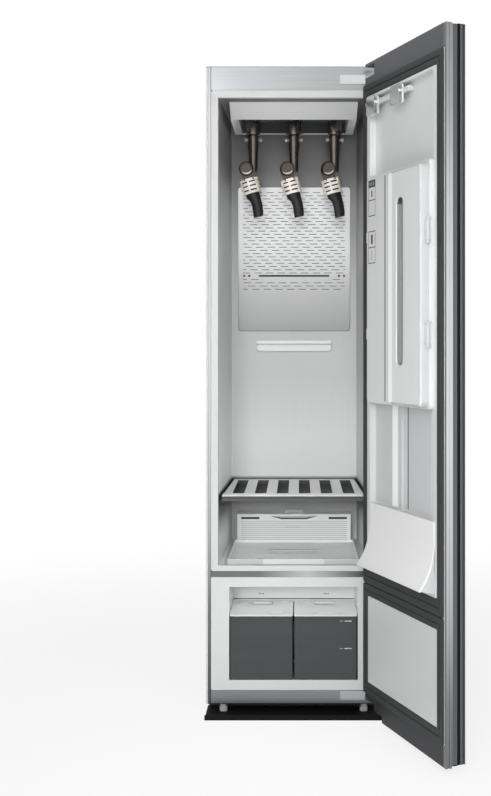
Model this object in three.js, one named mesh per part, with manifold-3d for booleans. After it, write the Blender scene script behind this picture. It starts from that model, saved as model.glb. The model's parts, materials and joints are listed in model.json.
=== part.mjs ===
// A clothes care steam cabinet: a tall narrow closet with a glass door on its right side, three steam
// nozzles under its ceiling, a slatted shelf, two water tanks below and a trouser press inside the door.
// Millimetres. X runs to the right, Y to the back, Z up. The origin is on the floor, under the middle of
// the plinth strip. The door is drawn shut and then turned open on its hinge.
import * as THREE from 'three';
import { mergeVertices } from 'three/addons/utils/BufferGeometryUtils.js';
import Module from 'manifold-3d';

const wasm = await Module();
wasm.setup();

// Whole cabinet
const cabinetWidth = 500;
const cabinetHeight = 1850;
const frontPlane = 56;
const carcassDepth = 525;
const carcassBottom = 27;
const clear = 0.3;
const overrun = 6;
const sheet = 1.5;
const topRib = 12;
const smallRound = 3;

// Side panels, rear cover and front trim strips
const sideHem = 5.5;
const rearFlange = 16;
const stripWidth = 8;
const stripDepth = 24;
const coverInset = 2;
const ventSlotLength = 70;
const ventSlotHeight = 5;
const ventSlotPitch = 14;
const ventSlotRows = 8;
const ventSlotsBottom = 250;
const ventSlotOffset = 60;

// Front rails
const topRailHeight = 66;
const railFlange = 18;
const topRailFlange = 40;
const dividerHeight = 17;
const bottomRailHeight = 38;

// Care compartment liner
const compartmentFloor = 423;
const upperFlange = 21;
const lowerFlange = 16;
const flangeThick = 2.5;
const openingMargin = 34;
const openingRound = 6;
const linerRearSpace = 68;
const linerDraft = 14;
const linerWall = 3;
const ductTopInset = 31;
const ductTopDrop = 32;
const ductTopHeight = 280;
const ductLowInset = 71;
const ductLowHeight = 50;
const ductLowRise = 22;

// Water tank bay
const bayMargin = 29;
const bayTopMargin = 28.2;
const bayInset = 66;
const bayDepth = 200;
const bayWall = 2.5;
const dockRise = 29;
const bayRound = 2;
const dockRadius = 9;
const dockLength = 6;

// Water tanks and lids
const tankSideGap = 1.2;
const tankMiddleGap = 3;
const tankHeight = 181;
const tankDepth = 192;
const tankWall = 2.5;
const tankRound = 5;
const tankSetback = 0.8;
const lidHeight = 6;
const lidSkirt = 8;
const fillHoleWidth = 60;
const fillHoleDepth = 34;
const fillHoleBack = 30;

// Base pan, feet and plinth strip
const panRim = 12;
const footRadius = 9.5;
const footPadRadius = 12;
const footPadHeight = 5;
const footInset = 49;
const footFront = 20;
const footBack = 36;
const plinthHeight = 14.5;
const plinthLip = 3;
const plinthFront = 8;
const plinthPlate = 2.5;
const plinthPlateDepth = 73;

// Hanger unit under the ceiling
const hangerInset = 28.5;
const hangerFront = 60;
const lipBeforeNozzle = 123;
const hangerRearSpace = 57;
const hangerDrop = 38;
const cheekWidth = 24;
const hangerBackWall = 10;
const fasciaWall = 12;
const manifoldInset = 32.5;
const manifoldDepth = 84;
const manifoldHeight = 16;

// Steam nozzles: fixed socket, swivelling arm, tilting spout
const nozzleNames = ['left', 'middle', 'right'];
const nozzleBeforeBack = 140;
const socketRadius = 22;
const socketWall = 5;
const socketBottom = 63;
const socketRoof = 9;
const armRadius = 16;
const armLowRadius = 14;
const armLength = 100;
const armSpigot = 30;
const spigotGap = 0.7;
const armPinRadius = 4;
const armPinHalf = 26;
const armPinDrop = 15;
const elbowOffset = 20;
const elbowRadius = 21;
const elbowHalf = 20;
const elbowDrop = 107;
const elbowCapRadius = 15;
const elbowCapProud = 2;
const spoutTilt = 13;
const spoutForkGap = 0.4;
const spoutForkThick = 4;
const spoutForkHalf = 14;
const ringStart = 30;
const ringLength = 44;
const ringRadius = 30;
const ringBandDepth = 3;
const ringBands = 4;
const spoutLength = 150;
const spoutRadius = 19;
const spoutTipRadius = 13;

// Vent panel and light bar on the back wall
const ventInset = 21;
const ventDrop = 198.9;
const ventHeight = 465;
const ventThick = 7;
const ventRound = 9;
const dashHalf = 13;
const dashHeight = 4;
const dashMargin = 24.5;
const dashRowPitch = 38;
const dashRows = 7;
const dashDrop = 32;
const dashColumns = 4;
const longSlotInset = 67;
const longSlotHeight = 6;
const longSlotDrop = 289;
const lightInset = 59;
const lightGap = 30;
const lightHeight = 36;
const lightThick = 13;
const lightRound = 12;
const lightSeam = 2;
const lightSeamInset = 9;

// Slatted shelf and its pins
const shelfRise = 196;
const shelfThick = 5;
const shelfSkirt = 15;
const shelfFront = 21;
const shelfRearGap = 5;
const shelfSideGap = 9;
const shelfSlotHalf = 17;
const shelfSlotMargin = 7;
const shelfSlots = 6;
const shelfSlotFront = 26;
const shelfSlotBack = 20;
const shelfSkirtThick = 4;
const shelfPinReach = 18;
const shelfPinHeight = 7;
const shelfPinDepth = 9;
const shelfPinFront = 45;
const shelfPinRear = 47;

// Filter housing and filter
const housingInset = 21;
const housingHeight = 92;
const housingDepth = 70;
const housingWall = 3;
const housingRibs = 6;
const housingRibHeight = 5;
const housingRibPitch = 12;
const housingRibInset = 31;
const housingRibLow = 12;
const filterInset = 21;
const filterThick = 9;
const filterFromFront = 24;
const filterBorder = 12;
const filterBars = 5;
const filterBarWidth = 4;
const filterTabHalf = 34;
const filterTabHeight = 9;
const filterSlotGap = 1;

// Floor tray
const trayInset = 26;
const trayFront = 10;
const trayFloor = 3;
const trayRim = 11;
const trayWall = 4;
const trayLip = 17;
const trayLipThick = 8;
const trayGripHalf = 82;
const trayGripDrop = 6;
const trayBackGap = 3;

// Machine room
const machineSide = 100;
const generatorRear = 126;
const generatorRadius = 52;
const generatorHeight = 210;
const generatorDome = 18;
const generatorPlate = 62;
const compressorRear = 116;
const compressorRadius = 62;
const compressorHeight = 190;
const compressorDome = 26;
const compressorPlate = 74;
const generatorWall = 4;
const compressorWall = 12;
const mountPlate = 4;
const domeRiseShare = 0.7;
const domeStepShare = 0.35;
const exchangerHalf = 70;
const exchangerFront = 30;
const exchangerDepth = 60;
const exchangerHeight = 170;
const exchangerFins = 13;
const exchangerFin = 2.5;
const exchangerCore = 24;
const blowerRear = 111;
const blowerDrop = 86;
const blowerRadius = 72;
const blowerHalf = 40;
const blowerWall = 3;
const blowerInlet = 46;
const blowerDuctHalf = 50;
const fanRadius = 58;
const fanHalf = 26;
const fanHub = 16;
const fanDisc = 4;
const fanBlades = 10;
const fanBladeLength = 14;
const fanBladeThick = 2.5;
const axlePin = 5;
const inletSide = 60;
const inletZ = 70;
const inletHalf = 24;
const inletHigh = 30;
const inletDepth = 24;
const inletFlange = 6;
const inletPocket = 15;
const inletPocketBorder = 5;

// Door, measured from its hinge edge toward its free edge, and inward from its inner face
const doorSideGap = 2;
const doorTopGap = 4.2;
const doorBottom = 18.6;
const sealStand = 8;
const sealGap = 0.4;
const pivotInset = 12;
const pivotDepth = 31;
const doorOpenAngle = 110.2;
const panDepth = 17;
const edgeProfileWidth = 11.5;
const edgeGroove = 4;
const coreDepth = 31;
const coreInset = 4;
const coreEnd = 3.4;
const rebateDepth = 14;
const coreRim = 22;
const coreWeb = 3;
const panWeb = 3;
const glassThick = 5;
const glassInset = 2;
const glassLow = 5.4;
const glassHigh = 1.8;
const sealHingeOuter = 1;
const sealHingeInner = 31;
const sealFreeInner = 37;
const sealFreeOuter = 5;
const sealTopOuter = 23;
const sealTopInner = 13;
const sealBottomInner = 6;
const sealBottomOuter = 4;
const sealParting = 1.5;
const sealLipDrop = 1.8;
const lowerSealTopInner = 10;
const lowerSealBottomInner = 14;
const lowerSealBottomOuter = 8;
const webThick = 1.5;
const upperPanelThick = 7.4;
const lowerPanelThick = 5;
const tubInset = 16;
const tubRise = 189;
const tubTopInset = 4;
const tubDepth = 14;
const tubWall = 3;
const ribHinge = 199;
const ribFree = 233;
const ribHeight = 7;
const boardHalf = 43;
const boardDrop = 252;
const boardHeight = 296;
const boardThick = 4;
const boardPocket = 8;

// Hinge plates, arms and pins
const pocketLength = 62;
const pocketDepth = 46;
const topPocketDrop = 12;
const topPocketHeight = 32;
const bottomPocketRise = 20;
const bottomNotchLength = 114;
const bottomNotchDrop = 3;
const plateThick = 3;
const plateInner = 103;
const plateOuter = 20;
const plateHeight = 26;
const topPlateDrop = 51;
const bottomPlateRise = 11.2;
const armHeight = 13;
const hingeArmWidth = 12;
const topArmDrop = 35;
const bottomArmRise = 1;
const pinRadius = 4;
const eyeRadius = 9;

// Drip ramp on the door
const rampHinge = 60;
const rampFreeInset = 44;
const rampRise = 194;
const rampReach = 53;
const rampLipRise = 25;
const rampStraight = 56;
const rampSweep = 42;
const rampWall = 4;
const rampHeelRise = 15;
const rampSeat = 7.7;
const rampCheek = 3;

// Trouser press
const pressHinge = 56;
const pressFreeInset = 46;
const pressRise = 471;
const pressDrop = 242.9;
const pressFront = 20;
const pressRound = 14;
const pressWall = 3;
const coverWidth = 191;
const coverFreeInset = 51;
const coverRise = 6;
const coverDrop = 11;
const coverFront = 45;
const coverRound = 18;
const grooveInset = 53;
const grooveWidth = 36;
const grooveRise = 103;
const grooveDrop = 74;
const grooveDepth = 14;
const grooveRound = 12;
const barrelInset = 43.5;
const barrelInward = 27;
const barrelRadius = 5.5;
const barrelBore = 3;
const barrelPin = 2.5;
const barrelHalf = 24;
const barrelShares = [0.3, 0.715];
const lugLength = 9;
const lugRadius = 5;

// Trouser clips
const clipRailHinge = 52;
const clipRailFree = 300;
const clipRailDrop = 10;
const clipRailHeight = 12;
const clipRailInner = -2;
const clipRailFront = 8;
const clipPostWidth = 12;
const clipLeftCentre = 84;
const clipRightCentre = 242;
const clipCentres = [clipLeftCentre, clipRightCentre];
const clipNames = ['left', 'right'];
const clipHalf = 30;
const clipDrop = 22.9;
const clipHeight = 50;
const clipPlate = 5;
const clipBarrelDrop = 18;
const clipBarrelRadius = 4;
const clipBarrelBore = 2.2;
const clipAxleRadius = 1.8;
const clipJawThick = 4;
const clipJawGap = 1;
const clipLugThick = 4;
const clipToothHeight = 4;

// Places that follow from the sizes above
const halfWidth = cabinetWidth / 2;
const rearPlane = frontPlane + carcassDepth;
const carcassTop = cabinetHeight - sheet - clear;
const railHalf = halfWidth - sideHem - clear - stripWidth - clear;
const openingHalf = halfWidth - openingMargin;
const linerDepth = carcassDepth - linerRearSpace;
const linerBackHalf = openingHalf - linerDraft;
const topRailBottom = carcassTop - topRailHeight;
const openingTop = topRailBottom - clear - upperFlange;
const dividerTop = compartmentFloor - lowerFlange;
const dividerBottom = dividerTop - dividerHeight;
const panTop = carcassBottom + sheet;
const bottomRailBottom = panTop + clear;
const bottomRailTop = bottomRailBottom + bottomRailHeight;
const bayBottom = bottomRailTop + bayMargin;
const bayTop = dividerBottom - bayTopMargin;
const bayHalf = halfWidth - bayInset;
const backWall = frontPlane + linerDepth;
const hangerHalf = openingHalf - hangerInset;
const hangerBack = linerDepth - hangerRearSpace;
const nozzlePitch = 2 * hangerHalf / nozzleNames.length;
const nozzleDepth = hangerBack - nozzleBeforeBack;
const ventHalf = linerBackHalf - ventInset;
const ventTop = openingTop - ventDrop;
const ventBottom = ventTop - ventHeight;
const ductTopHigh = ventTop - ductTopDrop;
const lightTop = ventBottom - lightGap;
const lightBottom = lightTop - lightHeight;
const shelfTop = compartmentFloor + shelfRise;
const housingHalf = linerBackHalf - housingInset;
const filterHalf = housingHalf - filterInset;
const doorHingeEdge = halfWidth - doorSideGap;
const doorWidth = cabinetWidth - 2 * doorSideGap;
const doorTop = cabinetHeight - doorTopGap;
const doorInner = frontPlane - sealStand;
const pivotX = doorHingeEdge - pivotInset;
const pivotY = doorInner - pivotDepth;
const inletX = inletSide - halfWidth;
const blowerY = rearPlane - blowerRear;
const tubBottom = compartmentFloor + tubRise;
const boardHigh = cabinetHeight - boardDrop;
const boardLow = boardHigh - boardHeight;
const topPocketHigh = cabinetHeight - topPocketDrop;
const topPocketLow = topPocketHigh - topPocketHeight;
const bottomPlateLow = bottomRailBottom + bottomPlateRise;
const bottomPocketHigh = bottomPlateLow + bottomPocketRise;
const bottomNotchHigh = bottomPlateLow - bottomNotchDrop;
const rampFree = doorWidth - rampFreeInset;
const rampTop = compartmentFloor + rampRise;
const rampLip = compartmentFloor + rampLipRise;
const pressFree = doorWidth - pressFreeInset;
const pressBottom = compartmentFloor + pressRise;
const pressTop = openingTop - pressDrop;
const coverFree = doorWidth - coverFreeInset;
const coverHinge = coverFree - coverWidth;
const barrelAxis = doorWidth - barrelInset;
const clipHigh = openingTop - clipDrop;
const clipLow = clipHigh - clipHeight;
const clipRailHigh = clipHigh - clipRailDrop;
const clipRailLow = clipRailHigh - clipRailHeight;
const clipBarrelZ = clipHigh - clipBarrelDrop;
const nozzleY = frontPlane + nozzleDepth;
const socketLow = openingTop - socketBottom;
const elbowZ = socketLow - elbowDrop;
const sealFace = sealStand - sealGap;
const sealSeat = clear + webThick + clear;
const degree = Math.PI / 180;
const roundSteps = 3;
const lathePieces = 16;
const smallLathePieces = 10;

/** The same triangles with shared corners, no empty triangles and the faces turned outward. */
function weld(geometry) {
  const bare = geometry.clone();
  bare.deleteAttribute('normal');
  bare.deleteAttribute('uv');
  const merged = mergeVertices(bare);
  const points = merged.attributes.position.array;
  const kept = [];
  let volume = 0;
  for (let at = 0; at < merged.index.count; at += 3) {
    const [a, b, c] = [0, 1, 2].map((corner) => merged.index.getX(at + corner));
    if (a !== b && b !== c && c !== a) {
      kept.push([a, b, c]);
      const [p, q, r] = [a, b, c].map((point) => new THREE.Vector3().fromArray(points, point * 3));
      volume += p.dot(q.cross(r));
    }
  }
  const corners = kept.flatMap(([a, b, c]) => (volume < 0 ? [a, c, b] : [a, b, c]));
  return { points, corners };
}

/** A closed geometry as a solid that can be joined and cut. */
function solid(geometry) {
  const { points, corners } = weld(geometry);
  return new wasm.Manifold(new wasm.Mesh({
    numProp: 3,
    vertProperties: new Float32Array(points),
    triVerts: new Uint32Array(corners),
  }));
}

/** A solid as a geometry. */
function surface(body) {
  const { vertProperties, triVerts } = body.getMesh();
  const geometry = new THREE.BufferGeometry();
  geometry.setAttribute('position', new THREE.BufferAttribute(vertProperties, 3));
  geometry.setIndex(new THREE.BufferAttribute(triVerts, 1));
  return geometry;
}

/** One solid of several that meet. */
const join = (first, ...rest) => rest.reduce((whole, piece) => whole.add(piece), first);

/** The first solid without the others. */
const cut = (first, ...rest) => rest.reduce((whole, piece) => whole.subtract(piece), first);

/** A block between two values on each axis. */
function block([x0, x1], [y0, y1], [z0, z1]) {
  const geometry = new THREE.BoxGeometry(x1 - x0, y1 - y0, z1 - z0);
  return solid(geometry.translate((x0 + x1) / 2, (y0 + y1) / 2, (z0 + z1) / 2));
}

/** An outline of straight lines. */
const outline = (points) => new THREE.Shape(points.map(([u, v]) => new THREE.Vector2(u, v)));

/** A rectangular outline with round corners. */
function rounded([u0, u1], [v0, v1], radius) {
  const shape = new THREE.Shape();
  shape.absarc(u1 - radius, v1 - radius, radius, 0, Math.PI / 2);
  shape.absarc(u0 + radius, v1 - radius, radius, Math.PI / 2, Math.PI);
  shape.absarc(u0 + radius, v0 + radius, radius, Math.PI, 1.5 * Math.PI);
  shape.absarc(u1 - radius, v0 + radius, radius, 1.5 * Math.PI, 2 * Math.PI);
  return shape;
}

/** A straight prism of an outline, with its length along the third of the given axes. */
function prism(shape, length, axes, start) {
  const geometry = new THREE.ExtrudeGeometry(shape, {
    depth: length,
    bevelEnabled: false,
    curveSegments: roundSteps,
  });
  geometry.applyMatrix4(new THREE.Matrix4().makeBasis(...axes));
  return solid(geometry.translate(start.x, start.y, start.z));
}

const right = new THREE.Vector3(1, 0, 0);
const back = new THREE.Vector3(0, 1, 0);
const up = new THREE.Vector3(0, 0, 1);

/** A prism that stands up: its outline is in X and Y. */
const upright = (shape, [z0, z1]) => prism(shape, z1 - z0, [right, back, up], up.clone().multiplyScalar(z0));

/** A prism that runs to the right: its outline is in Y and Z. */
const lengthwise = (shape, [x0, x1]) => prism(shape, x1 - x0, [back, up, right],
  right.clone().multiplyScalar(x0));

/** A prism that runs to the back: its outline is in X and Z. */
const slab = (shape, [y0, y1]) => prism(shape, y1 - y0, [right, up, back.clone().negate()],
  back.clone().multiplyScalar(y1));

/** A turned solid on a vertical axis, from a closed profile of radius and height. */
function turned(profile, x, y, pieces = lathePieces) {
  const closed = [...profile, profile[0]].map(([radius, z]) => new THREE.Vector2(radius, z));
  return solid(new THREE.LatheGeometry(closed, pieces).rotateX(Math.PI / 2).translate(x, y, 0));
}

/** A round bar between two heights. */
function bar(radius, x, y, [z0, z1], pieces = smallLathePieces) {
  const geometry = new THREE.CylinderGeometry(radius, radius, z1 - z0, pieces).rotateX(Math.PI / 2);
  return solid(geometry.translate(x, y, (z0 + z1) / 2));
}

/** A round bar to the right. */
function barAcross(radius, [x0, x1], y, z, pieces = smallLathePieces) {
  const geometry = new THREE.CylinderGeometry(radius, radius, x1 - x0, pieces).rotateZ(Math.PI / 2);
  return solid(geometry.translate((x0 + x1) / 2, y, z));
}

/** A round bar to the back. */
function barInward(radius, x, [y0, y1], z, pieces = lathePieces) {
  const geometry = new THREE.CylinderGeometry(radius, radius, y1 - y0, pieces);
  return solid(geometry.translate(x, (y0 + y1) / 2, z));
}

/** A solid between two rectangles in X and Z, the first in front. */
function drafted(front, rear) {
  const rows = [front, rear].map(({ half, low, high, y }) => [
    [-half, y, low], [half, y, low], [half, y, high], [-half, y, high],
  ]);
  const points = new Float32Array(rows.flat(2));
  const sides = [[0, 1, 5, 4], [1, 2, 6, 5], [2, 3, 7, 6], [3, 0, 4, 7], [3, 2, 1, 0], [4, 5, 6, 7]];
  const geometry = new THREE.BufferGeometry();
  geometry.setAttribute('position', new THREE.BufferAttribute(points, 3));
  geometry.setIndex(sides.flatMap(([a, b, c, d]) => [a, c, b, a, d, c]));
  return solid(geometry);
}

/** A span widened by the same amount at both ends. */
const wider = ([low, high], by) => [low - by, high + by];

/** A span centred on a value. */
const around = (middle, half) => [middle - half, middle + half];

/** The same span on the other side of the middle. */
const mirrored = ([low, high]) => [-high, -low];

/** Half the liner's inner width at a depth behind the front plane. */
const linerHalfAt = (depth) => openingHalf - linerDraft * (depth / linerDepth);

const cabinet = new THREE.Group();
const doorTurn = new THREE.Group();
const door = new THREE.Group();
doorTurn.position.set(pivotX, pivotY, 0);
doorTurn.rotation.z = doorOpenAngle * degree;
door.position.set(-pivotX, -pivotY, 0);
doorTurn.add(door);
cabinet.add(doorTurn);

/** Adds a named piece with its own material. */
function piece(name, body, { colour, roughness, metalness = 0 }, parent = cabinet) {
  const material = new THREE.MeshStandardMaterial({ color: colour, roughness, metalness });
  const mesh = new THREE.Mesh(surface(body), material);
  mesh.name = name;
  parent.add(mesh);
}

const whitePlastic = { colour: 0xe6e7e7, roughness: 0.4 };
const whiteMoulding = { colour: 0xdcdedd, roughness: 0.35 };
const greyLiner = { colour: 0xb9bbbb, roughness: 0.4 };
const brushedMetal = { colour: 0xb4b6b8, roughness: 0.35, metalness: 0.9 };
const brightMetal = { colour: 0xd0d2d4, roughness: 0.2, metalness: 1 };
const darkMetal = { colour: 0x4a4643, roughness: 0.25, metalness: 0.8 };
const paintedSteel = { colour: 0xc9cbcd, roughness: 0.5, metalness: 0.3 };
const zincSteel = { colour: 0x9a9da0, roughness: 0.45, metalness: 0.7 };
const darkPlastic = { colour: 0x3a3b3c, roughness: 0.55 };
const blackPlastic = { colour: 0x121212, roughness: 0.6 };
const gasketRubber = { colour: 0x404142, roughness: 0.75 };
const smokedPlastic = { colour: 0x4c4d4d, roughness: 0.15 };
const smokedGlass = { colour: 0x55585d, roughness: 0.08, metalness: 0.4 };
const greenBoard = { colour: 0x2c4a38, roughness: 0.6 };

/** Left and right skins of folded sheet, with a hem in front and a flange behind. */
function buildSidePanels() {
  const skin = halfWidth - sheet;
  const hem = halfWidth - sideHem;
  const flange = halfWidth - rearFlange;
  const rear = rearPlane - sheet - clear;
  const plan = [
    [halfWidth, frontPlane], [halfWidth, rear], [flange, rear], [flange, rear - sheet],
    [skin, rear - sheet], [skin, frontPlane + sheet], [hem, frontPlane + sheet], [hem, frontPlane],
  ];
  const reflected = plan.map(([x, y]) => [-x, y]).reverse();
  piece('side_panel_left', upright(outline(reflected), [carcassBottom, carcassTop]), paintedSteel);
  piece('side_panel_right', upright(outline(plan), [carcassBottom, carcassTop]), paintedSteel);
}

/** Top panel: a flat sheet over the whole carcass, with a turned-down edge behind the top rail. */
function buildTopPanel() {
  const top = block([-halfWidth, halfWidth], [frontPlane, rearPlane], [cabinetHeight - sheet, cabinetHeight]);
  const rib = frontPlane + topRailFlange + clear;
  const stiffener = block([-railHalf, railHalf], [rib, rib + sheet],
    [cabinetHeight - sheet - topRib, cabinetHeight - sheet]);
  piece('top_panel', join(top, stiffener), paintedSteel);
}

/** Rear cover with two fields of air slots and a window for the mains inlet. */
function buildRearCover() {
  const cover = slab(rounded([-halfWidth + coverInset, halfWidth - coverInset],
    [carcassBottom, carcassTop], smallRound), [rearPlane - sheet, rearPlane]);
  const through = wider([rearPlane - sheet, rearPlane], overrun);
  const cuts = [];
  for (let row = 0; row < ventSlotRows; row += 1) {
    const z = ventSlotsBottom + row * ventSlotPitch;
    for (const side of [-1, 1]) {
      const middle = side * ventSlotOffset;
      cuts.push(block(around(middle, ventSlotLength / 2), through, [z, z + ventSlotHeight]));
    }
  }
  cuts.push(block(around(inletX, inletHalf + clear), through, around(inletZ, inletHigh / 2 + clear)));
  piece('rear_cover', cut(cover, ...cuts), paintedSteel);
}

/** Mains inlet: a socket block flush with the rear cover and a flange behind it. */
function buildMainsInlet() {
  const front = rearPlane - inletDepth;
  const body = block(around(inletX, inletHalf), [front, rearPlane], around(inletZ, inletHigh / 2));
  const flangeFace = rearPlane - sheet - clear;
  const flange = block(around(inletX, inletHalf + inletFlange), [flangeFace - sheet, flangeFace],
    around(inletZ, inletHigh / 2 + inletFlange));
  const pocket = block(around(inletX, inletHalf - inletPocketBorder),
    [rearPlane - inletPocket, rearPlane + overrun], around(inletZ, inletHigh / 2 - inletPocketBorder));
  piece('mains_inlet', cut(join(body, flange), pocket), blackPlastic);
}

/** Base pan: a sheet between the side panels with a rim turned up all round. */
function buildBasePan() {
  const half = halfWidth - sheet - clear;
  const front = frontPlane + stripDepth + clear;
  const rear = rearPlane - sheet - clear - sheet - clear;
  const floor = block([-half, half], [frontPlane + sheet + clear, rear], [carcassBottom, panTop]);
  const rim = block([-half, half], [front, rear], [carcassBottom, panTop + panRim]);
  const inside = block([-half + sheet, half - sheet], [front + sheet, rear - sheet],
    [panTop, panTop + panRim + overrun]);
  piece('base_pan', join(floor, cut(rim, inside)), zincSteel);
}

/** Four levelling feet. The front pair stands on the plinth's foot plate. */
function buildFeet() {
  const places = [
    [-1, frontPlane + footFront, plinthPlate + clear], [1, frontPlane + footFront, plinthPlate + clear],
    [-1, rearPlane - footBack, 0], [1, rearPlane - footBack, 0],
  ];
  places.forEach(([side, y, z], index) => {
    const top = carcassBottom - clear;
    const profile = [
      [0, z], [footPadRadius, z], [footPadRadius, z + footPadHeight], [footRadius, z + footPadHeight],
      [footRadius, top], [0, top],
    ];
    piece(`levelling_foot_${index + 1}`, turned(profile, side * (halfWidth - footInset), y, smallLathePieces),
      brightMetal);
  });
}

/** Plinth strip: an angle whose foot plate runs back under the front feet. */
function buildPlinth() {
  const plateBack = frontPlane + plinthPlateDepth;
  const section = [
    [-plinthFront, 0], [plateBack, 0], [plateBack, plinthPlate], [plinthLip - plinthFront, plinthPlate],
    [plinthLip - plinthFront, plinthHeight], [-plinthFront, plinthHeight],
  ];
  piece('plinth_strip', lengthwise(outline(section), [-halfWidth, halfWidth]), blackPlastic);
}

/** A folded rail across the front, open to the back. */
function frontRail([low, high], flangeLow, flangeHigh) {
  return lengthwise(outline([
    [frontPlane, low], [frontPlane + flangeLow, low], [frontPlane + flangeLow, low + sheet],
    [frontPlane + sheet, low + sheet], [frontPlane + sheet, high - sheet],
    [frontPlane + flangeHigh, high - sheet], [frontPlane + flangeHigh, high], [frontPlane, high],
  ]), [-railHalf, railHalf]);
}

/** The three rails and the two upright trim strips of the front frame. */
function buildFrontFrame() {
  piece('top_rail', frontRail([topRailBottom, carcassTop], railFlange, topRailFlange), brushedMetal);
  piece('divider_rail', frontRail([dividerBottom, dividerTop], railFlange, railFlange), brushedMetal);
  piece('bottom_rail', frontRail([bottomRailBottom, bottomRailTop], railFlange, railFlange), brushedMetal);
  const inner = halfWidth - sideHem - clear - stripWidth;
  const outer = halfWidth - sideHem - clear;
  const plan = [
    [inner, frontPlane], [outer, frontPlane], [outer, frontPlane + stripDepth],
    [outer - sheet, frontPlane + stripDepth], [outer - sheet, frontPlane + sheet],
    [inner + sheet, frontPlane + sheet], [inner + sheet, frontPlane + stripDepth],
    [inner, frontPlane + stripDepth],
  ];
  const span = [bottomRailBottom, carcassTop];
  const reflected = plan.map(([x, y]) => [-x, y]).reverse();
  piece('front_strip_left', upright(outline(reflected), span), brushedMetal);
  piece('front_strip_right', upright(outline(plan), span), brushedMetal);
}

/** Care compartment: flange, drafted tub, four shelf pins and the two air openings in its back wall. */
function buildLiner() {
  const flange = slab(rounded([-railHalf, railHalf],
    [dividerTop + clear, topRailBottom - clear], openingRound), [frontPlane, frontPlane + flangeThick]);
  const outside = drafted(
    { half: openingHalf + linerWall, low: compartmentFloor - linerWall, high: openingTop + linerWall,
      y: frontPlane + flangeThick / 2 },
    { half: linerHalfAt(linerDepth) + linerWall, low: compartmentFloor - linerWall,
      high: openingTop + linerWall, y: backWall + linerWall },
  );
  const inside = drafted(
    { half: openingHalf, low: compartmentFloor, high: openingTop, y: frontPlane - overrun },
    { half: linerHalfAt(linerDepth), low: compartmentFloor, high: openingTop, y: backWall },
  );
  const behind = wider([backWall, backWall + linerWall], overrun);
  const upperDuct = block(around(0, ventHalf - ductTopInset), behind,
    [ductTopHigh - ductTopHeight, ductTopHigh]);
  const ductLow = compartmentFloor + ductLowRise;
  const lowerDuct = block(around(0, housingHalf - ductLowInset), behind, [ductLow, ductLow + ductLowHeight]);
  const pinTop = shelfTop - shelfSkirt - clear;
  const pins = [];
  for (const depth of [shelfPinFront, linerDepth - shelfPinRear]) {
    const wall = linerHalfAt(depth);
    for (const turn of [(span) => span, mirrored]) {
      pins.push(block(turn([wall - shelfPinReach, wall + linerWall / 2]),
        around(frontPlane + depth, shelfPinDepth / 2), [pinTop - shelfPinHeight, pinTop]));
    }
  }
  piece('compartment_liner', join(cut(join(flange, outside), inside, upperDuct, lowerDuct), ...pins),
    greyLiner);
}

/** Tank bay: front plate and box in one moulding, with a docking boss behind each tank. */
function buildTankBay() {
  const plate = slab(rounded([-railHalf, railHalf],
    [bottomRailTop + clear, dividerBottom - clear], smallRound), [frontPlane, frontPlane + flangeThick]);
  const box = block([-bayHalf - bayWall, bayHalf + bayWall], [frontPlane, frontPlane + bayDepth + bayWall],
    [bayBottom - bayWall, bayTop + bayWall]);
  const room = slab(rounded([-bayHalf, bayHalf], [bayBottom, bayTop], bayRound),
    [frontPlane - overrun, frontPlane + bayDepth]);
  const bosses = [-1, 1].map((side) => barInward(dockRadius, side * bayHalf / 2,
    [frontPlane + bayDepth - dockLength, frontPlane + bayDepth + bayWall], bayBottom + dockRise));
  piece('tank_bay_frame', join(cut(join(plate, box), room), ...bosses), whitePlastic);
}

/** Two smoked tanks and their lids. The dark shells fill the bay from side to side. */
function buildTanks() {
  const front = frontPlane + tankSetback;
  const rear = Math.min(front + tankDepth, frontPlane + bayDepth - dockLength - clear);
  const low = bayBottom + clear;
  const high = low + tankHeight;
  const spans = {
    left: [-bayHalf + tankSideGap, -tankMiddleGap / 2],
    right: [tankMiddleGap / 2, bayHalf - tankSideGap],
  };
  for (const [name, span] of Object.entries(spans)) {
    const shell = upright(rounded(span, [front, rear], tankRound), [low, high]);
    const inner = upright(rounded(wider(span, -tankWall), [front + tankWall, rear - tankWall], tankRound / 2),
      [low + tankWall, high + overrun]);
    piece(`tank_${name}`, cut(shell, inner), smokedPlastic);
    const lidLow = high + clear;
    const lid = upright(rounded(span, [front, rear], tankRound), [lidLow, lidLow + lidHeight]);
    const skirtSpan = wider(span, -tankWall - clear);
    const skirtDepth = [front + tankWall + clear, rear - tankWall - clear];
    const skirt = upright(rounded(skirtSpan, skirtDepth, tankRound / 2),
      [high - lidSkirt, lidLow + lidHeight / 2]);
    const hollow = upright(rounded(wider(skirtSpan, -tankWall), wider(skirtDepth, -tankWall), tankRound / 2),
      [high - lidSkirt - overrun, lidLow]);
    const middle = (span[0] + span[1]) / 2;
    const hole = upright(rounded(around(middle, fillHoleWidth / 2),
      [rear - fillHoleBack - fillHoleDepth, rear - fillHoleBack], tankRound),
    [lidLow - overrun, lidLow + lidHeight + overrun]);
    piece(`tank_lid_${name}`, cut(join(lid, skirt), hollow, hole), whitePlastic);
  }
}

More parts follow.
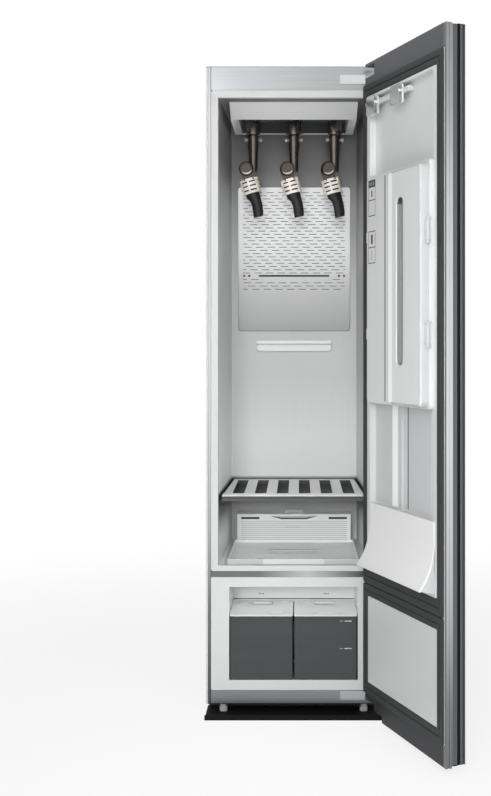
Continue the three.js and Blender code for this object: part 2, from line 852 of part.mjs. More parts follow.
/** White cover under the ceiling: sloped fascia in front, cheeks and back, open below over the nozzles. */
function buildHangerCover() {
  const top = openingTop - clear;
  const low = openingTop - hangerDrop;
  const front = frontPlane + hangerFront;
  const lip = nozzleY - lipBeforeNozzle;
  const rear = frontPlane + hangerBack;
  const body = lengthwise(outline([[front, top], [lip, low], [rear, low], [rear, top]]),
    [-hangerHalf, hangerHalf]);
  const room = lengthwise(outline([
    [front + fasciaWall, top + overrun], [lip + fasciaWall, low - overrun],
    [rear - hangerBackWall, low - overrun], [rear - hangerBackWall, top + overrun],
  ]), [cheekWidth - hangerHalf, hangerHalf - cheekWidth]);
  piece('hanger_unit_cover', cut(body, room), whiteMoulding);
  const manifoldTop = openingTop - clear;
  const manifold = upright(rounded(around(0, hangerHalf - manifoldInset), around(nozzleY, manifoldDepth / 2),
    smallRound), [manifoldTop - manifoldHeight, manifoldTop]);
  piece('steam_manifold', manifold, darkPlastic);
}

/** One steam nozzle: the socket is fixed, the arm turns in it and the spout tilts on the arm's elbow. */
function buildNozzle(name, x) {
  const socketTop = openingTop - clear - manifoldHeight - clear;
  const bore = socketRadius - socketWall;
  piece(`nozzle_socket_${name}`, turned([
    [0, socketTop - socketRoof], [bore, socketTop - socketRoof], [bore, socketLow],
    [socketRadius, socketLow], [socketRadius, socketTop], [0, socketTop],
  ], x, nozzleY), darkMetal);

  const armTop = socketLow - clear;
  const spigot = bar(bore - spigotGap, x, nozzleY, [armTop - armSpigot / 2, armTop + armSpigot]);
  const armBottom = armTop - armLength;
  const pipe = turned([
    [0, armBottom], [armLowRadius, armBottom], [armRadius, armTop - armPinDrop - armSpigot],
    [armRadius, armTop - clear], [0, armTop - clear],
  ], x, nozzleY);
  const retainer = barAcross(armPinRadius, around(x, armPinHalf), nozzleY, armTop - armPinDrop);
  const elbowX = x - elbowOffset;
  const elbow = barInward(elbowRadius, elbowX, around(nozzleY, elbowHalf), elbowZ);
  const cap = barInward(elbowCapRadius, elbowX, around(nozzleY, elbowHalf + elbowCapProud), elbowZ);
  piece(`nozzle_arm_${name}`, join(spigot, pipe, retainer, elbow, cap), darkMetal);

  const ringRoot = ringStart + ringBandDepth;
  const spout = join(
    turned(ringProfile(), 0, 0),
    turned([[0, -ringRoot], [spoutRadius, -ringRoot], [spoutTipRadius, -spoutLength], [0, -spoutLength]], 0, 0),
    ...[-1, 1].map((side) => forkCheek(side)),
  );
  const placed = spout.rotate([0, -spoutTilt, 0]).translate([elbowX, nozzleY, elbowZ]);
  piece(`nozzle_spout_${name}`, placed, brightMetal);
}

/** Outline of the banded collar of a spout: raised bands with grooves between. */
function ringProfile() {
  const step = ringLength / ringBands;
  const profile = [[0, -ringStart]];
  for (let band = 0; band < ringBands; band += 1) {
    const top = -ringStart - band * step;
    profile.push([ringRadius, top], [ringRadius, top - step / 2]);
    profile.push([ringRadius - ringBandDepth, top - step / 2], [ringRadius - ringBandDepth, top - step]);
  }
  return [...profile, [0, -ringStart - ringLength]];
}

/** One cheek of the fork that holds a spout on the elbow. */
function forkCheek(side) {
  const inner = elbowHalf + elbowCapProud + spoutForkGap;
  const span = [inner, inner + spoutForkThick];
  const cheek = slab(rounded([-spoutForkHalf, spoutForkHalf], [-ringStart - ringBandDepth, spoutForkHalf],
    spoutForkHalf - clear), side > 0 ? span : mirrored(span));
  return cheek;
}

/** Slotted vent panel and the light bar below it, both on the back wall. */
function buildBackWallFittings() {
  const face = backWall - clear;
  const panelDepth = [face - ventThick, face];
  const panel = slab(rounded([-ventHalf, ventHalf], [ventBottom, ventTop], ventRound), panelDepth);
  const through = wider(panelDepth, overrun);
  const longSlotZ = ventTop - longSlotDrop;
  const slots = [block(around(0, ventHalf - longSlotInset), through, [longSlotZ, longSlotZ + longSlotHeight])];
  const dashPitch = (ventHalf - dashMargin - dashHalf) / (dashColumns / 2 - 1 / 4);
  for (let row = 0; row < dashRows; row += 1) {
    const z = ventTop - dashDrop - row * dashRowPitch;
    const shift = (row % 2 ? dashPitch / 4 : -dashPitch / 4) - dashPitch * (dashColumns - 1) / 2;
    for (let column = 0; column < dashColumns; column += 1) {
      slots.push(block(around(shift + column * dashPitch, dashHalf), through, [z, z + dashHeight]));
    }
  }
  piece('vent_panel', cut(panel, ...slots), whitePlastic);
  const middle = (lightBottom + lightTop) / 2;
  const lightHalf = ventHalf - lightInset;
  const lightBar = slab(rounded([-lightHalf, lightHalf], [lightBottom, lightTop], lightRound),
    [face - lightThick, face]);
  const seam = block([-lightHalf + lightSeamInset, lightHalf - lightSeamInset],
    [face - lightThick - overrun, face - lightThick + lightSeam], around(middle, lightSeam / 2));
  piece('light_bar', cut(lightBar, seam), whitePlastic);
}

/** Slatted shelf: it follows the draft of the walls and stands on the four pins. */
function buildShelf() {
  const frontHalf = linerHalfAt(shelfFront) - shelfSideGap;
  const backHalf = linerHalfAt(linerDepth - shelfRearGap) - shelfSideGap;
  const [front, rear] = [frontPlane + shelfFront, backWall - shelfRearGap];
  const low = shelfTop - shelfSkirt;
  const plan = (by) => outline([
    [-frontHalf + by, front + by], [frontHalf - by, front + by],
    [backHalf - by, rear - by], [-backHalf + by, rear - by],
  ]);
  const body = upright(plan(0), [low, shelfTop]);
  const room = upright(plan(shelfSkirtThick), [low - overrun, shelfTop - shelfThick]);
  const slots = [];
  const shelfSlotPitch = 2 * (linerBackHalf - shelfSlotMargin) / shelfSlots;
  for (let index = 0; index < shelfSlots; index += 1) {
    const middle = (index - (shelfSlots - 1) / 2) * shelfSlotPitch;
    slots.push(block(around(middle, shelfSlotHalf), [front + shelfSlotFront, rear - shelfSlotBack],
      [low, shelfTop + overrun]));
  }
  piece('shelf', cut(body, room, ...slots), brushedMetal);
}

/** Filter housing on the floor against the back wall, and the lint filter that lifts out of it. */
function buildFilter() {
  const face = backWall - clear;
  const front = face - housingDepth;
  const low = compartmentFloor + clear;
  const high = low + housingHeight;
  const body = block([-housingHalf, housingHalf], [front, face], [low, high]);
  const room = block([-housingHalf + housingWall, housingHalf - housingWall],
    [front + housingWall, face + overrun], [low + housingWall, high - housingWall]);
  const louvres = [];
  for (let rib = 0; rib < housingRibs; rib += 1) {
    const z = low + housingRibLow + rib * housingRibPitch;
    louvres.push(block(around(0, housingHalf - housingRibInset),
      [front - overrun, front + housingWall + overrun], [z, z + housingRibHeight]));
  }
  const filterY = [front + filterFromFront, front + filterFromFront + filterThick];
  const mouth = block([-filterHalf - filterSlotGap, filterHalf + filterSlotGap], wider(filterY, filterSlotGap),
    [high - housingWall - overrun, high + overrun]);
  piece('filter_housing', cut(body, room, mouth, ...louvres), whitePlastic);

  const sill = low + housingWall + clear;
  const frame = block([-filterHalf, filterHalf], filterY, [sill, high]);
  const windows = [];
  const open = 2 * (filterHalf - filterBorder) + filterBarWidth;
  for (let index = 0; index < filterBars + 1; index += 1) {
    const start = filterBorder - filterHalf + index * open / (filterBars + 1);
    windows.push(block([start, start + open / (filterBars + 1) - filterBarWidth], wider(filterY, overrun),
      [sill + filterBorder, high - filterBorder]));
  }
  const tab = slab(outline([
    [-filterTabHalf, high - clear], [filterTabHalf, high - clear],
    [filterTabHalf - filterTabHeight, high + filterTabHeight],
    [filterTabHeight - filterTabHalf, high + filterTabHeight],
  ]), filterY);
  piece('filter_frame', join(cut(frame, ...windows), tab), whitePlastic);
}

/** Drip tray on the compartment floor, with a raised front lip that has a finger grip in its middle. */
function buildTray() {
  const front = frontPlane + trayFront;
  const rear = backWall - clear - housingDepth - trayBackGap;
  const low = compartmentFloor + clear;
  const trayHalf = openingHalf - trayInset;
  const body = block([-trayHalf, trayHalf], [front, rear], [low, low + trayRim]);
  const lip = block([-trayHalf, trayHalf], [front, front + trayLipThick], [low, low + trayLip]);
  const room = block([-trayHalf + trayWall, trayHalf - trayWall], [front + trayLipThick, rear - trayWall],
    [low + trayFloor, low + trayRim + overrun]);
  const grip = block([-trayGripHalf, trayGripHalf], [front - overrun, front + trayLipThick + overrun],
    [low + trayLip - trayGripDrop, low + trayLip + overrun]);
  piece('floor_tray', cut(join(body, lip), room, grip), whitePlastic);
}

/** A machine on a square foot plate: a turned vessel with a domed top, hollow and open below. */
function vessel(x, y, radius, height, dome, wall, plateHalf) {
  const low = panTop + clear;
  const shoulder = low + height - dome;
  const shell = join(
    block(around(x, plateHalf), around(y, plateHalf), [low, low + mountPlate]),
    turned([
      [0, low], [radius, low], [radius, shoulder],
      [radius - dome * domeStepShare, shoulder + dome * domeRiseShare],
      [radius / 2, low + height], [0, low + height],
    ], x, y),
  );
  return cut(shell, bar(radius - wall, x, y, [low - overrun, shoulder], lathePieces));
}

/** Steam generator, compressor and finned heat exchanger on the base pan. */
function buildMachines() {
  const side = halfWidth - machineSide;
  piece('steam_generator', vessel(side, rearPlane - generatorRear, generatorRadius, generatorHeight,
    generatorDome, generatorWall, generatorPlate), zincSteel);
  piece('compressor', vessel(-side, rearPlane - compressorRear, compressorRadius, compressorHeight,
    compressorDome, compressorWall, compressorPlate), blackPlastic);
  const low = panTop + clear;
  const front = frontPlane + bayDepth + bayWall + exchangerFront;
  const rear = front + exchangerDepth;
  const core = block([-exchangerHalf, exchangerHalf], around((front + rear) / 2, exchangerCore / 2),
    [low, low + exchangerHeight]);
  const pitch = (2 * exchangerHalf - exchangerFin) / (exchangerFins - 1);
  const fins = [];
  for (let index = 0; index < exchangerFins; index += 1) {
    const x = index * pitch - exchangerHalf;
    fins.push(block([x, x + exchangerFin], [front, rear], [low, low + exchangerHeight]));
  }
  piece('heat_exchanger', join(core, ...fins), zincSteel);
}

/** Blower: a round housing bolted under the compartment floor, with an inlet in front, and its fan. */
function buildBlower() {
  const hung = compartmentFloor - linerWall - clear;
  const z = hung - blowerDrop;
  const [front, rear] = around(blowerY, blowerHalf);
  const drum = barInward(blowerRadius, 0, [front, rear], z);
  const neck = block([-blowerDuctHalf, blowerDuctHalf], [front, rear], [z, hung]);
  const room = barInward(blowerRadius - blowerWall, 0, [front + blowerWall, rear - blowerWall], z);
  const duct = block(wider([-blowerDuctHalf, blowerDuctHalf], -blowerWall),
    [front + blowerWall, rear - blowerWall], [z, hung - blowerWall]);
  const mouth = block(wider([-blowerDuctHalf, blowerDuctHalf], -2 * blowerWall),
    wider([front, rear], -2 * blowerWall), [z, hung + overrun]);
  const inlet = barInward(blowerInlet, 0, [front - overrun, front + blowerWall + overrun], z);
  const stub = barInward(axlePin, 0, [blowerY, rear - blowerWall / 2], z);
  piece('blower_housing', join(cut(join(drum, neck), room, duct, mouth, inlet), stub), darkPlastic);

  const [fanFront, fanRear] = around(blowerY, fanHalf);
  const disc = barInward(fanRadius, 0, [fanRear - fanDisc, fanRear], z);
  const hub = barInward(fanHub, 0, [fanFront, fanRear], z);
  const rim = cut(
    barInward(fanRadius, 0, [fanFront, fanFront + fanDisc], z),
    barInward(fanRadius - fanBladeLength, 0, [fanFront - overrun, fanFront + fanDisc + overrun], z),
  );
  const blades = [];
  for (let index = 0; index < fanBlades; index += 1) {
    const angle = index * 360 / fanBlades;
    const blade = block([fanRadius - fanBladeLength, fanRadius - clear], [fanFront + clear, fanRear - clear],
      around(0, fanBladeThick / 2));
    blades.push(blade.rotate([0, angle, 0]).translate([0, 0, z]));
  }
  const bore = barInward(axlePin + 2 * clear, 0, [blowerY - overrun, fanRear + overrun], z);
  piece('fan_impeller', cut(join(disc, hub, rim, ...blades), bore), darkPlastic);
}

/** X of a distance from the door's hinge edge, with the door shut. */
const across = (distance) => doorHingeEdge - distance;

/** Y of a distance inward from the door's inner face, with the door shut. */
const inward = (distance) => doorInner + distance;

/** A span across the door, in X. */
const spanAcross = ([near, far]) => [across(far), across(near)];

/** A span through the door, in Y. */
const spanInward = ([outer, inner]) => [inward(outer), inward(inner)];

/** A block of the door. */
const doorBlock = (spanU, spanW, spanZ) => block(spanAcross(spanU), spanInward(spanW), spanZ);

/** A slab of the door with round corners. */
const doorSlab = (spanU, spanW, spanZ, radius) => slab(rounded(spanAcross(spanU), spanZ, radius),
  spanInward(spanW));

/** The room for the hinge arms at the door's two hinge corners, and the notch below the lower one. */
function hingeRooms() {
  const spanU = [-overrun, pocketLength];
  const spanW = [-pocketDepth, overrun];
  return [
    doorBlock(spanU, spanW, [topPocketLow, topPocketHigh]),
    doorBlock(spanU, spanW, [bottomNotchHigh - overrun, bottomPocketHigh]),
    doorBlock([-overrun, bottomNotchLength], [-pocketDepth, overrun], [doorBottom - overrun, bottomNotchHigh]),
  ];
}

/** Door shell: inner pan with a window for the liner's tub, silver edge profile, core and glass front. */
function buildDoorShell() {
  const height = [doorBottom, doorTop];
  const tubSpan = [sealHingeInner + tubInset - clear, doorWidth - sealFreeInner - tubInset + clear];
  const tubTop = openingTop - sealTopInner - tubTopInset;
  const panEnd = doorWidth - edgeProfileWidth;
  const pan = doorBlock([0, panEnd - clear], [-panDepth, 0], height);
  const window = doorBlock(tubSpan, [-panDepth - overrun, overrun], [tubBottom - clear, tubTop + clear]);
  const foamSpan = [coreRim, doorWidth - coreRim];
  const foamLow = bottomPocketHigh + coreRim;
  const panPocket = doorBlock([foamSpan[0], panEnd - coreRim], [-panDepth - overrun, -panWeb],
    [foamLow, tubBottom - coreRim]);
  piece('door_pan', cut(pan, window, panPocket, ...hingeRooms()), darkPlastic, door);

  const profile = doorBlock([panEnd, doorWidth], [-panDepth, 0], height);
  const groove = doorBlock([doorWidth - edgeGroove / 2, doorWidth + overrun],
    around(-panDepth / 2, edgeGroove / 2), wider(height, overrun));
  piece('door_edge_profile', cut(profile, groove), brightMetal, door);

  const glassSpan = [glassInset, doorWidth - glassInset];
  const glassHeight = [doorBottom + glassLow, doorTop - glassHigh];
  const coreBack = -panDepth - clear;
  const coreFront = -panDepth - coreDepth;
  const inner = doorBlock([coreInset, doorWidth - coreInset], [coreFront + rebateDepth - clear, coreBack],
    [doorBottom + coreEnd, doorTop - coreEnd]);
  const rebate = doorBlock(glassSpan, [coreFront, coreFront + rebateDepth], glassHeight);
  const boardRoom = doorBlock(around(doorWidth / 2, boardHalf + clear), [coreFront - overrun,
    coreFront + boardPocket], wider([boardLow, boardHigh], clear));
  const foamDepth = [coreFront + coreWeb, coreBack + overrun];
  const lowerFoam = doorBlock(foamSpan, foamDepth, [foamLow, boardLow - coreRim]);
  const upperFoam = doorBlock(foamSpan, foamDepth, [boardHigh + coreRim, topPocketLow - coreRim]);
  piece('door_core', cut(join(inner, rebate), boardRoom, lowerFoam, upperFoam, ...hingeRooms()),
    darkPlastic, door);

  const glassBack = coreFront - clear;
  piece('door_glass', doorSlab(glassSpan, [glassBack - glassThick, glassBack], glassHeight, smallRound),
    smokedGlass, door);
  piece('display_board', doorBlock(around(doorWidth / 2, boardHalf), [coreFront + clear,
    coreFront + clear + boardThick], [boardLow, boardHigh]), greenBoard, door);
}

const upperSealTop = openingTop + sealTopOuter;
const upperSealBottom = dividerBottom - sealBottomOuter;
const upperPanelTop = openingTop - sealTopInner;
const upperPanelBottom = compartmentFloor + sealBottomInner;
const lowerSealTop = upperSealBottom - sealParting;
const lowerSealBottom = bottomRailTop + lowerSealBottomOuter;
const lowerPanelTop = bayTop - lowerSealTopInner;
const lowerPanelBottom = bayBottom + lowerSealBottomInner;
const sealOuter = [sealHingeOuter, doorWidth - sealFreeOuter];
const sealInner = [sealHingeInner, doorWidth - sealFreeInner];

/** White inner liner of the door: a web under the gaskets, two raised panels and a recessed tub. */
function buildDoorLiner() {
  const panelSpan = wider(sealInner, -clear);
  const web = doorBlock(wider(sealOuter, -clear), [clear, clear + webThick],
    [lowerSealBottom + clear, upperSealTop - clear]);
  const upper = doorSlab(panelSpan, [clear, upperPanelThick], wider([upperPanelBottom, upperPanelTop], -clear),
    smallRound);
  const lower = doorSlab(panelSpan, [clear, lowerPanelThick], wider([lowerPanelBottom, lowerPanelTop], -clear),
    smallRound);
  const tubSpan = wider(sealInner, -tubInset);
  const tubHeight = [tubBottom, upperPanelTop - tubTopInset];
  const tub = doorSlab(tubSpan, [-tubDepth, clear + webThick], tubHeight, smallRound);
  const room = doorSlab(wider(tubSpan, -tubWall), [tubWall - tubDepth, upperPanelThick + overrun],
    wider(tubHeight, -tubWall), smallRound);
  const rib = doorBlock([ribHinge, ribFree], [-tubDepth + clear, tubWall - tubDepth + ribHeight],
    [tubBottom + clear, pressBottom - clear]);
  piece('door_liner', join(cut(join(web, upper, lower, tub), room), rib), whiteMoulding, door);
}

/** A gasket ring between an outer and an inner rectangle. */
function gasket(name, [outerLow, outerHigh], [innerLow, innerHigh]) {
  const ring = doorSlab(sealOuter, [sealSeat, sealFace], [outerLow, outerHigh], smallRound);
  const hole = doorBlock(sealInner, [sealSeat - overrun, sealFace + overrun], [innerLow, innerHigh]);
  const lipDepth = (sealFace - sealSeat) / 2;
  const middle = (outerLow - innerLow) / 2;
  const grooveOuter = doorBlock(wider(sealOuter, middle + lipDepth), [sealFace - lipDepth, sealFace + overrun],
    [outerLow - middle - lipDepth, outerHigh + middle + lipDepth]);
  const grooveInner = doorBlock(wider(sealOuter, middle - lipDepth), [sealSeat - overrun, sealFace + overrun],
    [outerLow - middle + lipDepth, outerHigh + middle - lipDepth]);
  const lip = doorBlock([sealHingeOuter - overrun, pivotInset], [sealFace - sealLipDrop, sealFace + overrun],
    [outerLow - overrun, outerHigh + overrun]);
  piece(name, cut(ring, hole, cut(grooveOuter, grooveInner), lip), gasketRubber, door);
}

/** Upper and lower door gaskets. */
function buildGaskets() {
  gasket('gasket_upper', [upperSealBottom, upperSealTop], [upperPanelBottom, upperPanelTop]);
  gasket('gasket_lower', [lowerSealBottom, lowerSealTop], [lowerPanelBottom, lowerPanelTop]);
}

/** Drip ramp: a curved apron that leads water from the door back onto the floor tray. */
function buildRamp() {
  const face = new THREE.QuadraticBezierCurve(
    new THREE.Vector2(rampSeat + rampWall, rampTop - rampStraight),
    new THREE.Vector2(rampSeat + 2 * rampWall, rampLip + rampSweep),
    new THREE.Vector2(rampReach, rampLip),
  ).getPoints(2 * roundSteps);
  const front = [[rampSeat + rampWall, rampTop], ...face.map((point) => [point.x, point.y])];
  const rear = face.map((point) => [Math.max(point.x - rampWall, rampSeat), point.y - rampWall]).reverse();
  const section = [...front, ...rear, [rampSeat, rampTop - rampWall]];
  const toRoom = (points) => outline(points.map(([w, z]) => [inward(w), z]));
  const shell = lengthwise(toRoom(section), spanAcross([rampHinge, rampFree]));
  const cheekEdge = face.map((point) => [point.x - clear, point.y]).reverse();
  const cheekShape = [[rampSeat, compartmentFloor + rampHeelRise], ...cheekEdge,
    [rampSeat, rampTop - rampStraight]];
  const cheeks = [[rampHinge, rampHinge + rampCheek], [rampFree - rampCheek, rampFree]]
    .map((span) => lengthwise(toRoom(cheekShape), spanAcross(span)));
  piece('door_ramp', join(shell, ...cheeks), whitePlastic, door);
}

/** The heights of the two barrels, as shares of the way up the press. */
const barrelSpans = () => barrelShares.map((share) => around(
  pressBottom + share * (pressTop - pressBottom),
  barrelHalf,
));

/** Trouser press: a shell-shaped base and a cover hinged on two barrels at its free-edge side. */
function buildPress() {
  const seat = tubWall - tubDepth + clear;
  const baseSpan = [pressHinge, pressFree];
  const baseHeight = [pressBottom, pressTop];
  const footSpan = [pressHinge, doorWidth - sealFreeInner - tubInset - tubWall - clear];
  const wing = doorSlab(baseSpan, [upperPanelThick + clear, pressFront], baseHeight, pressRound);
  const foot = doorSlab(footSpan, [seat, pressFront - pressWall], baseHeight, pressRound);
  const inside = doorSlab(wider(footSpan, -pressWall), [seat - overrun, pressFront - pressWall],
    wider(baseHeight, -pressWall), pressRound - pressWall);
  const lugs = [];
  const pins = [];
  for (const [low, high] of barrelSpans()) {
    const below = [low - clear - lugLength, low - clear];
    const above = [high + clear, high + clear + lugLength];
    for (const [from, to] of [below, above]) {
      lugs.push(bar(lugRadius, across(barrelAxis), inward(barrelInward), [from, to]));
      lugs.push(doorBlock([pressFree - pressWall, barrelAxis + lugRadius / 2],
        [pressFront - pressWall, barrelInward], [from, to]));
    }
    const pinSpan = wider([low, high], lugLength / 2);
    pins.push(bar(barrelPin, across(barrelAxis), inward(barrelInward), pinSpan));
  }
  piece('press_base', join(cut(join(wing, foot), inside), ...lugs, ...pins), whiteMoulding, door);

  const coverBack = pressFront + clear;
  const coverSpan = [coverHinge, coverFree];
  const coverHeight = [pressBottom + coverRise, pressTop - coverDrop];
  const cover = doorSlab(coverSpan, [coverBack, coverFront], coverHeight, coverRound);
  const hollow = doorSlab(wider(coverSpan, -pressWall), [coverBack - overrun, coverFront - pressWall],
    wider(coverHeight, -pressWall), coverRound - pressWall);
  const grooveSpan = [coverHinge + grooveInset, coverHinge + grooveInset + grooveWidth];
  const grooveHeight = [coverHeight[0] + grooveRise, coverHeight[1] - grooveDrop];
  const walls = doorSlab(wider(grooveSpan, pressWall), [coverFront - grooveDepth - pressWall, coverFront],
    wider(grooveHeight, pressWall), grooveRound);
  const groove = doorSlab(grooveSpan, [coverFront - grooveDepth, coverFront + overrun], grooveHeight,
    grooveRound);
  const barrels = barrelSpans().map((span) => join(
    bar(barrelRadius, across(barrelAxis), inward(barrelInward), span),
    doorBlock([coverFree - pressWall, barrelAxis], [barrelInward, barrelInward + barrelRadius - clear], span),
  ));
  const bores = barrelSpans().map((span) => bar(barrelBore, across(barrelAxis), inward(barrelInward),
    wider(span, overrun)));
  const shell = cut(cover, cut(hollow, walls), groove);
  piece('press_cover', cut(join(shell, ...barrels), ...bores), whitePlastic, door);
}

/** Clip rail with two fixed clip plates, and a sprung jaw on each. */
function buildClips() {
  const seat = tubWall - tubDepth + clear;
  const rail = doorBlock([clipRailHinge, clipRailFree], [clipRailInner, clipRailFront],
    [clipRailLow, clipRailHigh]);
  const posts = [clipRailHinge + clipPostWidth, clipRailFree - clipPostWidth].map((middle) => doorBlock(
    around(middle, clipPostWidth / 2), [seat, clipRailFront], [clipRailLow, clipRailHigh]));
  const fixed = [rail, ...posts];
  const plateSpan = [clipRailFront - clear, clipRailFront + clipPlate];
  const jawBack = plateSpan[1] + clipJawGap + clipBarrelRadius;
  clipCentres.forEach((middle, index) => {
    const plate = doorSlab(around(middle, clipHalf), plateSpan, [clipLow, clipHigh], smallRound);
    const axle = barAcross(clipAxleRadius, spanAcross(around(middle, clipHalf)), inward(jawBack), clipBarrelZ);
    const lugs = [-1, 1].map((side) => doorBlock(
      side < 0 ? [middle - clipHalf, middle - clipHalf + clipLugThick]
        : [middle + clipHalf - clipLugThick, middle + clipHalf],
      [plateSpan[0], jawBack + clipBarrelRadius], around(clipBarrelZ, clipBarrelRadius)));
    fixed.push(plate, axle, ...lugs);

    const inner = clipHalf - clipLugThick - clear;
    const span = around(middle, inner);
    const barrel = barAcross(clipBarrelRadius, spanAcross(span), inward(jawBack), clipBarrelZ);
    const leafFront = jawBack + clipBarrelRadius;
    const leaf = doorSlab(span, [leafFront - clipJawThick, leafFront], [clipLow, clipHigh], smallRound);
    const tooth = doorBlock(span, [plateSpan[1] + clipJawGap, leafFront - clipJawThick + clear],
      [clipLow, clipLow + clipToothHeight]);
    const bore = barAcross(clipBarrelBore, spanAcross(wider(span, overrun)), inward(jawBack), clipBarrelZ);
    piece(`clip_jaw_${clipNames[index]}`, cut(join(barrel, leaf, tooth), bore), brightMetal, door);
  });
  piece('clip_rail', join(...fixed), whitePlastic, door);
}

/** A fixed hinge: plate on the rail, arm to the pivot, eye and pin. */
function buildHinge(name, plateLow, armLow, [pinLow, pinHigh]) {
  const face = frontPlane - clear;
  const outer = pivotX - plateOuter;
  const plate = slab(rounded([pivotX - plateInner, outer], [plateLow, plateLow + plateHeight], smallRound),
    [face - plateThick, face]);
  const arm = [armLow, armLow + armHeight];
  const start = outer - hingeArmWidth;
  const link = upright(outline([
    [start, face], [start, face - plateThick], [pivotX - eyeRadius / 2, pivotY - eyeRadius / 2],
    [pivotX + eyeRadius / 2, pivotY + eyeRadius / 2], [outer, face - plateThick], [outer, face],
  ]), arm);
  const eye = bar(eyeRadius, pivotX, pivotY, arm);
  const pin = bar(pinRadius, pivotX, pivotY, [pinLow + clear, pinHigh - clear]);
  piece(name, join(plate, link, eye, pin), brightMetal);
}

buildSidePanels();
buildTopPanel();
buildRearCover();
buildMainsInlet();
buildBasePan();
buildFeet();
buildPlinth();
buildFrontFrame();
buildLiner();
buildTankBay();
buildTanks();
buildHangerCover();
nozzleNames.forEach((name, index) => buildNozzle(name, (index - 1) * nozzlePitch));
buildBackWallFittings();
buildShelf();
buildFilter();
buildTray();
buildMachines();
buildBlower();
buildDoorShell();
buildDoorLiner();
buildGaskets();
buildRamp();
buildPress();
buildClips();
buildHinge('hinge_plate_top', cabinetHeight - topPlateDrop, cabinetHeight - topArmDrop,
  [topPocketLow, topPocketHigh]);
buildHinge('hinge_plate_bottom', bottomPlateLow, bottomPlateLow + bottomArmRise,
  [bottomNotchHigh - overrun, bottomPocketHigh]);

export default cabinet;
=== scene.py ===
"""Dresses a clothes care steam cabinet: the finish of each surface, its fine shapes, the studio and the camera.

The classes hold their sizes in millimetres, as a maker's drawing does. Meshes are made in metres, in the
same frame as the solids: X to the right, Y to the back, Z up.
"""

import json
import logging
import math
from dataclasses import dataclass
from enum import Enum
from typing import Any, ClassVar, Iterable, Sequence

import bmesh
import bpy
from mathutils import Matrix, Vector
from mathutils.geometry import tessellate_polygon

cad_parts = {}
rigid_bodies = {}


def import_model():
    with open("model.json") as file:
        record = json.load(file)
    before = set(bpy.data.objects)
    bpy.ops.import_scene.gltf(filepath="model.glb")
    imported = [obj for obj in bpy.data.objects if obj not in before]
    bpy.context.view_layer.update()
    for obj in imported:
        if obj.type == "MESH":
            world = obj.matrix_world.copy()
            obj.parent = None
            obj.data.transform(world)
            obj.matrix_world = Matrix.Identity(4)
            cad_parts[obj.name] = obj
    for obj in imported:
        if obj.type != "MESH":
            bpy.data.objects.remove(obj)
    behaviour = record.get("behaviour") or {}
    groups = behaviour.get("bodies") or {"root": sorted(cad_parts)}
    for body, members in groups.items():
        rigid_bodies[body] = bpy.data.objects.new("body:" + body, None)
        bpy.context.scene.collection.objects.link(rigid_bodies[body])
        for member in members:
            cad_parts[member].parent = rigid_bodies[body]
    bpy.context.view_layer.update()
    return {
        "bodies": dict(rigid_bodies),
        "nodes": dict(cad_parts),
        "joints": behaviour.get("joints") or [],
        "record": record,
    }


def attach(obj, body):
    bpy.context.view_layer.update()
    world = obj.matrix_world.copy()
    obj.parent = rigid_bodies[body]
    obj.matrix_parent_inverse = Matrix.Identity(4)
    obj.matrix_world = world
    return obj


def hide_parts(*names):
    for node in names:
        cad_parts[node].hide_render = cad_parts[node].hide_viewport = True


LOG = logging.getLogger("steam_cabinet")
MM = 0.001
SHARP_ANGLE = math.radians(38)
WELD_DISTANCE = 1e-6
LEAST_RADIUS = 0.3
WHITE_LIGHT = (1.0, 1.0, 1.0, 1.0)

# Blender's colour mix has several sockets of one name, so these go by number.
MIX_FACTOR, MIX_FIRST, MIX_SECOND, MIX_RESULT = 0, 6, 7, 2

Point = tuple[float, float]
Span = tuple[float, float]
Stops = tuple[Point, ...]
Settings = dict[Any, Any]
Source = tuple[bpy.types.Node, Any]


class Grain(Enum):
    """Which way the brush ran over a metal sheet."""

    ALONG_X = (1, 0, 0)
    ALONG_Z = (0, 0, 1)


class Side(Enum):
    """The three nozzles of the cabinet, by where they stand."""

    LEFT = "left"
    MIDDLE = "middle"
    RIGHT = "right"


def linear(colour: str, share: float = 1.0) -> tuple[float, float, float, float]:
    """Turns an sRGB hex colour into a linear one.

    Args:
        colour: The colour as #RRGGBB.
        share: How much of its light is kept, 1 for all.

    Returns:
        Red, green, blue and a full alpha.
    """
    parts = [int(colour[at:at + 2], 16) / 255 for at in (1, 3, 5)]
    light = [part / 12.92 if part <= 0.04045 else ((part + 0.055) / 1.055) ** 2.4 for part in parts]
    return (light[0] * share, light[1] * share, light[2] * share, 1.0)


def add_node(tree: bpy.types.NodeTree, kind: str, settings: Settings | None = None,
             links: Settings | None = None) -> bpy.types.Node:
    """Adds one node with its settings and what feeds it.

    Args:
        tree: The node tree that takes it.
        kind: Blender's name for the node.
        settings: Sockets by name or number, and the node's own options by name.
        links: For each socket, the node and the output that feed it.

    Returns:
        The new node.
    """
    node = tree.nodes.new(kind)
    for key, value in (settings or {}).items():
        if isinstance(key, int) or key in node.inputs:
            node.inputs[key].default_value = value
        else:
            setattr(node, key, value)
    for key, (source, output) in (links or {}).items():
        tree.links.new(source.outputs[output], node.inputs[key])
    return node


def empty_tree(owner: bpy.types.Material | bpy.types.World) -> bpy.types.NodeTree:
    """The node tree of a new material or world, without the nodes that come with it.

    Args:
        owner: The material or the world.

    Returns:
        Its node tree.
    """
    owner.use_nodes = True
    owner.node_tree.nodes.clear()
    return owner.node_tree


def per_metre(size: float) -> float:
    """How often a pattern of a size in millimetres repeats in a metre."""
    return 1 / (size * MM)


